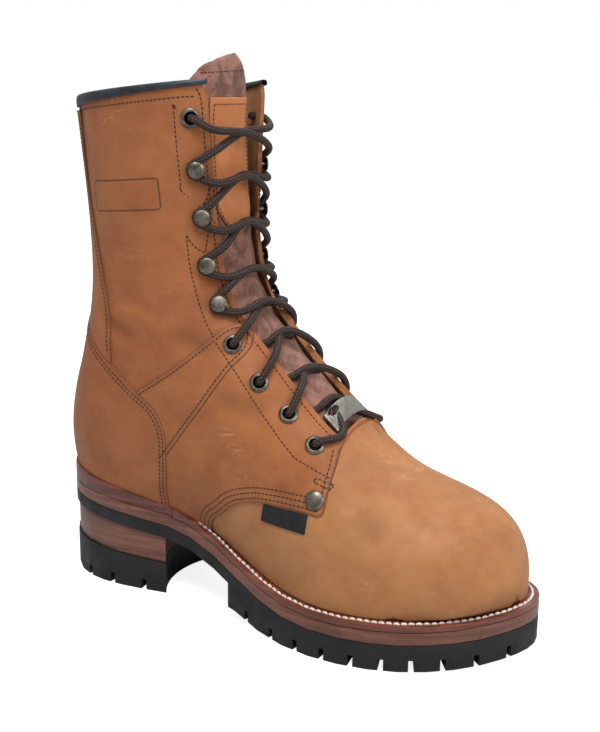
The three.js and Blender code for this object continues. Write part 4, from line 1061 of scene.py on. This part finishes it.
SIDES = {-1: "outer", 1: "inner"}
HOOKS = (5, 6, 7, 8)
seats = {}
for side, word in SIDES.items():
    for level in range(1, 10):
        kind = "hook" if level in HOOKS else "eyelet"
        seats[side, level] = set_on(button if kind == "hook" else washer, f"{kind}_{word}_{level}", pewter,
                                    f"{kind}_{word}_metal_{level}")
    set_on(stud, f"rivet_{word}", pewter, f"rivet_{word}_metal")
for master in (washer, button, stud):
    bpy.data.objects.remove(master)
print("hardware", len(seats) + 2)

# %% [markdown]
# One round braided lace runs through it all. It starts hidden in the outer top eyelet, zigzags down round the
# hooks and through the eyelets, crosses outside as the bar through the metal keeper, and climbs back on the other
# side. At every crossing the strand from the outer side's higher hole lies on top, as in the photograph.

# %% Route of the lace
LACE = 2.2 * MM
WALL = 2.4 * MM
STEM = 1.6 * MM
LIFT = LACE + 0.5 * MM
LACE_RING = 48
EDGE_REACH = 30 * MM
BAR_DROP = 6 * MM
BESIDE_HOOK, BESIDE_EYELET, BESIDE_TOP = 8.5 * MM, 6.5 * MM, 6 * MM


def edge_at(side, level, shift=0.0):
    line = facing_edge[side]
    seat = np.array(seats[side, level][0])
    row = np.array(seats[side, min(level + 1, 9)][0]) - np.array(seats[side, max(level - 1, 1)][0])
    off = (line - seat) @ (row / np.linalg.norm(row)) - shift
    far = np.linalg.norm(line - seat, axis=1) > EDGE_REACH
    at = int(np.argmin(np.abs(off) + far))
    point = Vector(line[at])
    upward = Vector(line[min(at + 3, len(line) - 1)] - line[max(at - 3, 0)]).normalized()
    facing = form.find_nearest(point)[1]
    return point, facing, upward


def middle_of(node):
    places = vertices(nodes[node].data)
    centre = places[:, 1].min() / 2 + places[:, 1].max() / 2
    nearest = np.argsort(np.abs(places[:, 1] - centre))[:LACE_RING]
    return Vector(places[nearest].mean(0))


def strand(level, start_side, over):
    """Points from one side's piece at a level up to the other side's piece one level higher, both left out."""
    end_side = -start_side
    middle = middle_of(f"lace_cross_{level}")
    a, a_out, _ = edge_at(start_side, level, BESIDE_HOOK if level in HOOKS else BESIDE_EYELET)
    beside = BESIDE_HOOK if level + 1 in HOOKS else BESIDE_TOP if level + 1 == 9 else BESIDE_EYELET
    b, b_out, _ = edge_at(end_side, level + 1, -beside)
    forward = (a_out + b_out).normalized()
    middle = middle + forward * (LACE * (1.05 if over else -1.05))
    first = a + a_out * (LIFT + 1.5 * MM) if level > 1 else a - a_out * (WALL + LACE) + (middle - a).normalized() * 3 * MM
    outside_end = level + 1 in HOOKS or level + 1 == 9
    last = b + b_out * (LIFT + 1.5 * MM) if outside_end else b - b_out * (WALL + LACE) + (middle - b).normalized() * 3 * MM
    return [first, middle, last]


def through(side, level):
    """Points at an eyelet, from under the leather to outside."""
    point, facing = seats[side, level]
    edge, _, _ = edge_at(side, level)
    inward = (edge - point).normalized()
    return [point - facing * (WALL + LACE + 0.5 * MM) + inward * 2 * MM, point - facing * 1.2 * MM,
            point + facing * (LACE + 0.6 * MM) + inward * 1.2 * MM]


def round_hook(side, level):
    point, facing = seats[side, level]
    edge, _, upward = edge_at(side, level)
    away = (point - edge).normalized()
    turn = STEM + LACE + 0.2 * MM
    base = point + facing * LIFT
    return [base - upward * turn, base + (away - upward).normalized() * turn, base + away * turn,
            base + (away + upward).normalized() * turn, base + upward * turn]


def climb(side):
    """Route of one half, from its first eyelet to its top eyelet, starting outside."""
    route = through(side, 1)[::-1]
    for level in range(1, 9):
        over = side == 1
        route += strand(level, side, over)
        side = -side
        if level + 1 in HOOKS:
            route += round_hook(side, level + 1)
        elif level + 1 == 9:
            route += through(side, 9)[::-1]
        else:
            route += through(side, level + 1)
    return route


def bar_route():
    near, near_out, _ = edge_at(-1, 1, -BAR_DROP)
    far, far_out, _ = edge_at(1, 1, -BAR_DROP)
    return [near + near_out * LIFT, middle_of("lace_bar"), far + far_out * LIFT]


route = climb(-1)[::-1] + bar_route() + climb(1)
print("lace route", len(route), "points")


# %% Lace
LACE_SIDES = 14
LACE_STEP = 1.1 * MM


def spline(points, step):
    points = np.array([p[:] for p in points])
    ends = np.vstack([2 * points[0] - points[1], points, 2 * points[-1] - points[-2]])
    made = []
    for a, b, c, d in zip(ends, ends[1:], ends[2:], ends[3:]):
        knots = np.cumsum([0, *[max(np.linalg.norm(q - p), 1e-6) ** 0.5 for p, q in ((a, b), (b, c), (c, d))]])
        for t in np.linspace(knots[1], knots[2], 12, endpoint=False):
            a1 = [((k1 - t) * p + (t - k0) * q) / (k1 - k0) for p, q, k0, k1 in zip((a, b, c), (b, c, d), knots, knots[1:])]
            b1 = [((knots[i + 2] - t) * a1[i] + (t - knots[i]) * a1[i + 1]) / (knots[i + 2] - knots[i]) for i in (0, 1)]
            made.append(((knots[2] - t) * b1[0] + (t - knots[1]) * b1[1]) / (knots[2] - knots[1]))
    return even(np.vstack([made, points[-1:]]), step)


def soften(line, rounds=3):
    for _ in range(rounds):
        line[1:-1] = 0.5 * line[1:-1] + 0.25 * (line[:-2] + line[2:])
    return line


def tube(name, line, radius, sides):
    tangents = np.gradient(line, axis=0)
    tangents /= np.linalg.norm(tangents, axis=1)[:, None]
    across = np.cross(tangents[0], (0, 0, 1))
    across /= np.linalg.norm(across)
    places, count = [], len(line)
    for point, along in zip(line, tangents):
        across = across - along * (across @ along)
        across /= np.linalg.norm(across)
        other = np.cross(along, across)
        for k in range(sides):
            angle = 2 * math.pi * k / sides
            places.append(point + radius * (math.cos(angle) * across + math.sin(angle) * other))
    faces = [(i * sides + k, i * sides + (k + 1) % sides, (i + 1) * sides + (k + 1) % sides, (i + 1) * sides + k)
             for i in range(count - 1) for k in range(sides)]
    places += [line[0], line[-1]]
    faces += [(count * sides, (k + 1) % sides, k) for k in range(sides)]
    last = (count - 1) * sides
    faces += [(count * sides + 1, last + k, last + (k + 1) % sides) for k in range(sides)]
    piece = mesh_piece(name, places, faces)
    uv = piece.data.uv_layers.new(name="along").data
    for face in piece.data.polygons[:(count - 1) * sides]:
        i, k = divmod(face.index, sides)
        for corner, (di, dk) in zip(face.loop_indices, ((0, 0), (0, 1), (1, 1), (1, 0))):
            uv[corner].uv = ((k + dk) / sides, (i + di) * LACE_STEP / (2 * radius))
    return piece


def braid_finish():
    material, tree, shader = start_material("braided_cord", 0.7)
    place = add_node(tree, "ShaderNodeUVMap", {"uv_map": "along"}).outputs["UV"]
    parts = add_node(tree, "ShaderNodeSeparateXYZ", Vector=place).outputs
    turns, rise = 4.0, 2.2
    wave = []
    for sign in (1, -1):
        slope = maths(tree, "ADD", maths(tree, "MULTIPLY", parts["X"], turns * sign * 2 * math.pi),
                      maths(tree, "MULTIPLY", parts["Y"], rise * 2 * math.pi))
        wave.append(maths(tree, "SINE", slope))
    braid = maths(tree, "MAXIMUM", *wave)
    product = maths(tree, "MULTIPLY", *wave)
    fleck = ramp(tree, product, 0.4, 0.85, 0.0, 0.7)
    # The cord's own dark brown goes darker towards 0E0706 in the grooves between the strands, as painted shade.
    base = blend_colour(tree, ramp(tree, braid, -0.2, 0.9), colour("0E0706"), colour("2C1A14"))
    base = blend_colour(tree, fleck, base, colour("7C6052"))
    tree.links.new(base, shader.inputs["Base Color"])
    bump(tree, shader, braid, 0.7, 0.0006)
    return material


lace = tube("braided_lace", soften(spline(route, LACE_STEP)), LACE, LACE_SIDES)
lace.data.materials.append(braid_finish())
smooth(lace)
settle(lace, "lace", "lace_bar", *[f"lace_cross_{i}" for i in range(1, 9)])
print("lace", len(lace.data.polygons), "faces")

# %% [markdown]
# The keeper is a bent metal plate with a slot at its end, plain and unmarked. Its CAD form is right, so a copy
# only gets rounded edges.

# %% Keeper
keeper = copy_of("lace_keeper", "lace_keeper_plate")
apply(keeper, "BEVEL", width=0.25 * MM, segments=2, limit_method="ANGLE", angle_limit=math.radians(40))
keeper.data.materials.append(silver)
smooth(keeper, 35)
settle(keeper, "plate", "lace_keeper")

# %% [markdown]
# Stitches are small bent ellipsoids of thread. One is modelled, then copied along each seam, laid on the top
# surface and turned along the seam. Rows are given by the line that they follow and how far inside it they run.

# %% One stitch
def stitch_master(length, width, bend=0.55):
    bpy.ops.object.select_all(action="DESELECT")
    bpy.ops.mesh.primitive_uv_sphere_add(segments=6, ring_count=5, radius=1, rotation=(0, math.pi / 2, 0))
    piece = bpy.context.object
    bpy.ops.object.transform_apply(location=True, rotation=True, scale=True)
    places = vertices(piece.data)
    places[:, 2] -= bend * places[:, 0] ** 2
    places *= np.array([length / 2, width / 2, width / 2])
    faces = [tuple(f.vertices) for f in piece.data.polygons]
    bpy.data.objects.remove(piece)
    return places, faces


def sew(name, rows, pitch, thread, width, slot_name, sink=0.1, fill=0.86):
    """rows: lists of (point, normal) pairs close together along each seam."""
    places, faces = [], []
    shape, shape_faces = stitch_master(pitch * fill, width)
    for row in rows:
        if len(row) < 3:
            continue
        line = np.array([[*p, *n] for p, n in row])
        line = even(line, pitch)
        for a, b in zip(line, line[1:]):
            along = Vector(b[:3] - a[:3]).normalized()
            up = Vector((a + b)[3:]).normalized()
            across = up.cross(along).normalized()
            up = along.cross(across)
            turn = np.array([along[:], across[:], up[:]])
            base = len(places)
            centre = (a[:3] + b[:3]) / 2 + np.array(up[:]) * (width * sink)
            places += list(shape @ turn + centre)
            faces += [tuple(base + i for i in f) for f in shape_faces]
    piece = mesh_piece(name, places, faces)
    piece.data.materials.append(thread)
    smooth(piece)
    settle(piece, slot_name)
    print(name, len(places) // len(shape), "stitches")
    return piece


# %% Seams drawn in the side view
def seam_row(line, inset, side, low=0.0, high=1.0):
    shifted = even(beside(np.asarray(line), inset), 1.5 * MM)
    shifted = shifted[int(low * len(shifted)):int(high * len(shifted)) or None]
    found = [from_side(x, z, side) for x, z in shifted]
    row = []
    for hit in found:
        if hit is None:
            continue
        if row and (hit[0] - row[-1][0]).length > 12 * MM:
            continue
        row.append(hit)
    return row


PROBE = 3 * MM


def walk_in(line, inset, step=2.0 * MM):
    """A line on the leather that runs beside an edge line, at a distance measured over the surface."""
    row = []
    for i in range(0, len(line), 2):
        here = Vector(line[i])
        along = Vector(line[min(i + 3, len(line) - 1)] - line[max(i - 3, 0)]).normalized()
        wanted = inset(i / (len(line) - 1)) if callable(inset) else inset
        _, facing, _, _ = form.find_nearest(here)
        inward = along.cross(facing).normalized()
        probes = [form.find_nearest(here + inward * way * PROBE)[0] for way in (1, -1)]
        if (probes[1] - here).length > (probes[0] - here).length:
            inward = -inward
        gone = 0.0
        while gone < wanted:
            stride = min(step, wanted - gone)
            here, facing, _, _ = form.find_nearest(here + inward * stride)
            inward = (inward - facing * inward.dot(facing)).normalized()
            gone += stride
        row.append(on_top(here, facing, 6 * MM)[:1] + (facing,))
    return row


ROW = 2.6 * MM
rows = []
for side in SIDES:
    edge = facing_edge[side]
    rows.append(walk_in(edge[:-2], lambda t: 3.4 * MM))
    rows.append(walk_in(edge[8:-2], lambda t: (26 - 7 * min(t * 2.2, 1)) * MM))
    rear_foot = rows[-1][0][0]
    for inset in (2.2, 4.6):
        rows.append(seam_row(counter_line, -inset * MM, side, 0.08, 0.98))
    rows.append(seam_row(band_top, -2.2 * MM, side, 0.1))
    rows.append(seam_row(band_low, -2.4 * MM, side, 0.0, 0.98))
    rows.append(seam_row(backstay_line, 2.2 * MM, side, 0.04, 0.93))
    for inset in (2.2, 5.2, 8.2):
        rows.append(seam_row(quarter_line, inset * MM, side, 0.08, 1.0))
    rows.append(seam_row(quarter_front, 2.4 * MM, side))
    rivet = seat_of(f"rivet_{SIDES[side]}")[0]
    tack = [(6.8, 5.6), (-3, 9.2), (-2.3, 11.4), (7.5, 7.8), (6.8, 5.6)]
    rows.append(seam_row([(rivet.x + x * MM, rivet.z + z * MM) for x, z in tack], 0, side))
    rows.append(seam_row([(rear_foot.x, rear_foot.z), (rivet.x + 5 * MM, rivet.z + 11 * MM)], 0, side))
rows.append(walk_in(collar_line, 8.2 * MM))
sew("dark_stitching", rows, ROW, thread_dark, 0.75 * MM, "upper_leather")

# %% Welt stitching and ribs of the rand
def inside_of(line, inset):
    flat = np.array([p[:] for p in line])
    along = np.gradient(flat, axis=0)
    along /= np.linalg.norm(along, axis=1)[:, None]
    return flat + np.stack([-along[:, 1], along[:, 0], np.zeros(len(along))], 1) * inset


welt_line = [p for p in outline_of(welt) if p is not None]
start = int(np.argmax([np.linalg.norm(np.array(b) - np.array(a)) for a, b in zip(welt_line, welt_line[1:] + welt_line[:1])])) + 1
welt_line = welt_line[start:] + welt_line[:start]
welt_tree = tree_of(welt)
welt_row = []
for x, y, z in even(inside_of(welt_line, 3.1 * MM), 1.5 * MM):
    hit, facing, _, _ = welt_tree.ray_cast(Vector((x, y, 0.2)), Vector((0, 0, -1)))
    if hit is not None:
        welt_row.append((hit, facing))
sew("welt_stitching", [welt_row], 4.0 * MM, thread_white, 1.7 * MM, "welt", 0.2, 0.97)
rand_line = even([p for p in outline_of(rand) if p is not None], 1 * MM)
places = vertices(rand.data)
nearest = np.argmin(np.linalg.norm(places[:, None, :2] - rand_line[None, :, :2], axis=2), axis=1)
store(rand.data, "along", nearest.astype(float))

# %% Stitching on the tongue
patch_tree = tree_of(patch, tongue)


def front_row(points):
    row = []
    for y, z in even(np.array(points), 1.2 * MM):
        hit, facing, _, _ = patch_tree.ray_cast(Vector((FAR, y, z)), Vector((-1, 0, 0)))
        if hit is not None:
            row.append((hit, facing))
    return row


patch_low, patch_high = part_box("tongue_patch")
HALF_PATCH = (patch_high.y - patch_low.y) / 2 - 2.6 * MM
PATCH_MIDDLE = (patch_high.y + patch_low.y) / 2
shoulder = patch_low.z + HALF_PATCH + 2 * MM
bow = [(PATCH_MIDDLE + HALF_PATCH * math.cos(a), shoulder + (HALF_PATCH + 0.5 * MM) * math.sin(a))
       for a in np.linspace(math.pi, 2 * math.pi, 14)]
patch_edge = [(PATCH_MIDDLE - HALF_PATCH, patch_high.z - 3.5 * MM), *bow, (PATCH_MIDDLE + HALF_PATCH, patch_high.z - 3.5 * MM)]
across = [(PATCH_MIDDLE - HALF_PATCH, patch_high.z - 3.8 * MM), (PATCH_MIDDLE + HALF_PATCH, patch_high.z - 3.8 * MM)]
flap = [(-24 * MM, patch_high.z + 13 * MM), (0, patch_high.z + 14.5 * MM), (17 * MM, patch_high.z + 15 * MM)]
sew("tongue_stitching", [front_row(line) for line in (patch_edge, across, flap)], 2.4 * MM, thread_dark, 0.7 * MM,
    "upper_leather")
bpy.data.objects.remove(skin)

# %% Finish
for material in bpy.data.materials:
    if material.users == 0:
        bpy.data.materials.remove(material)
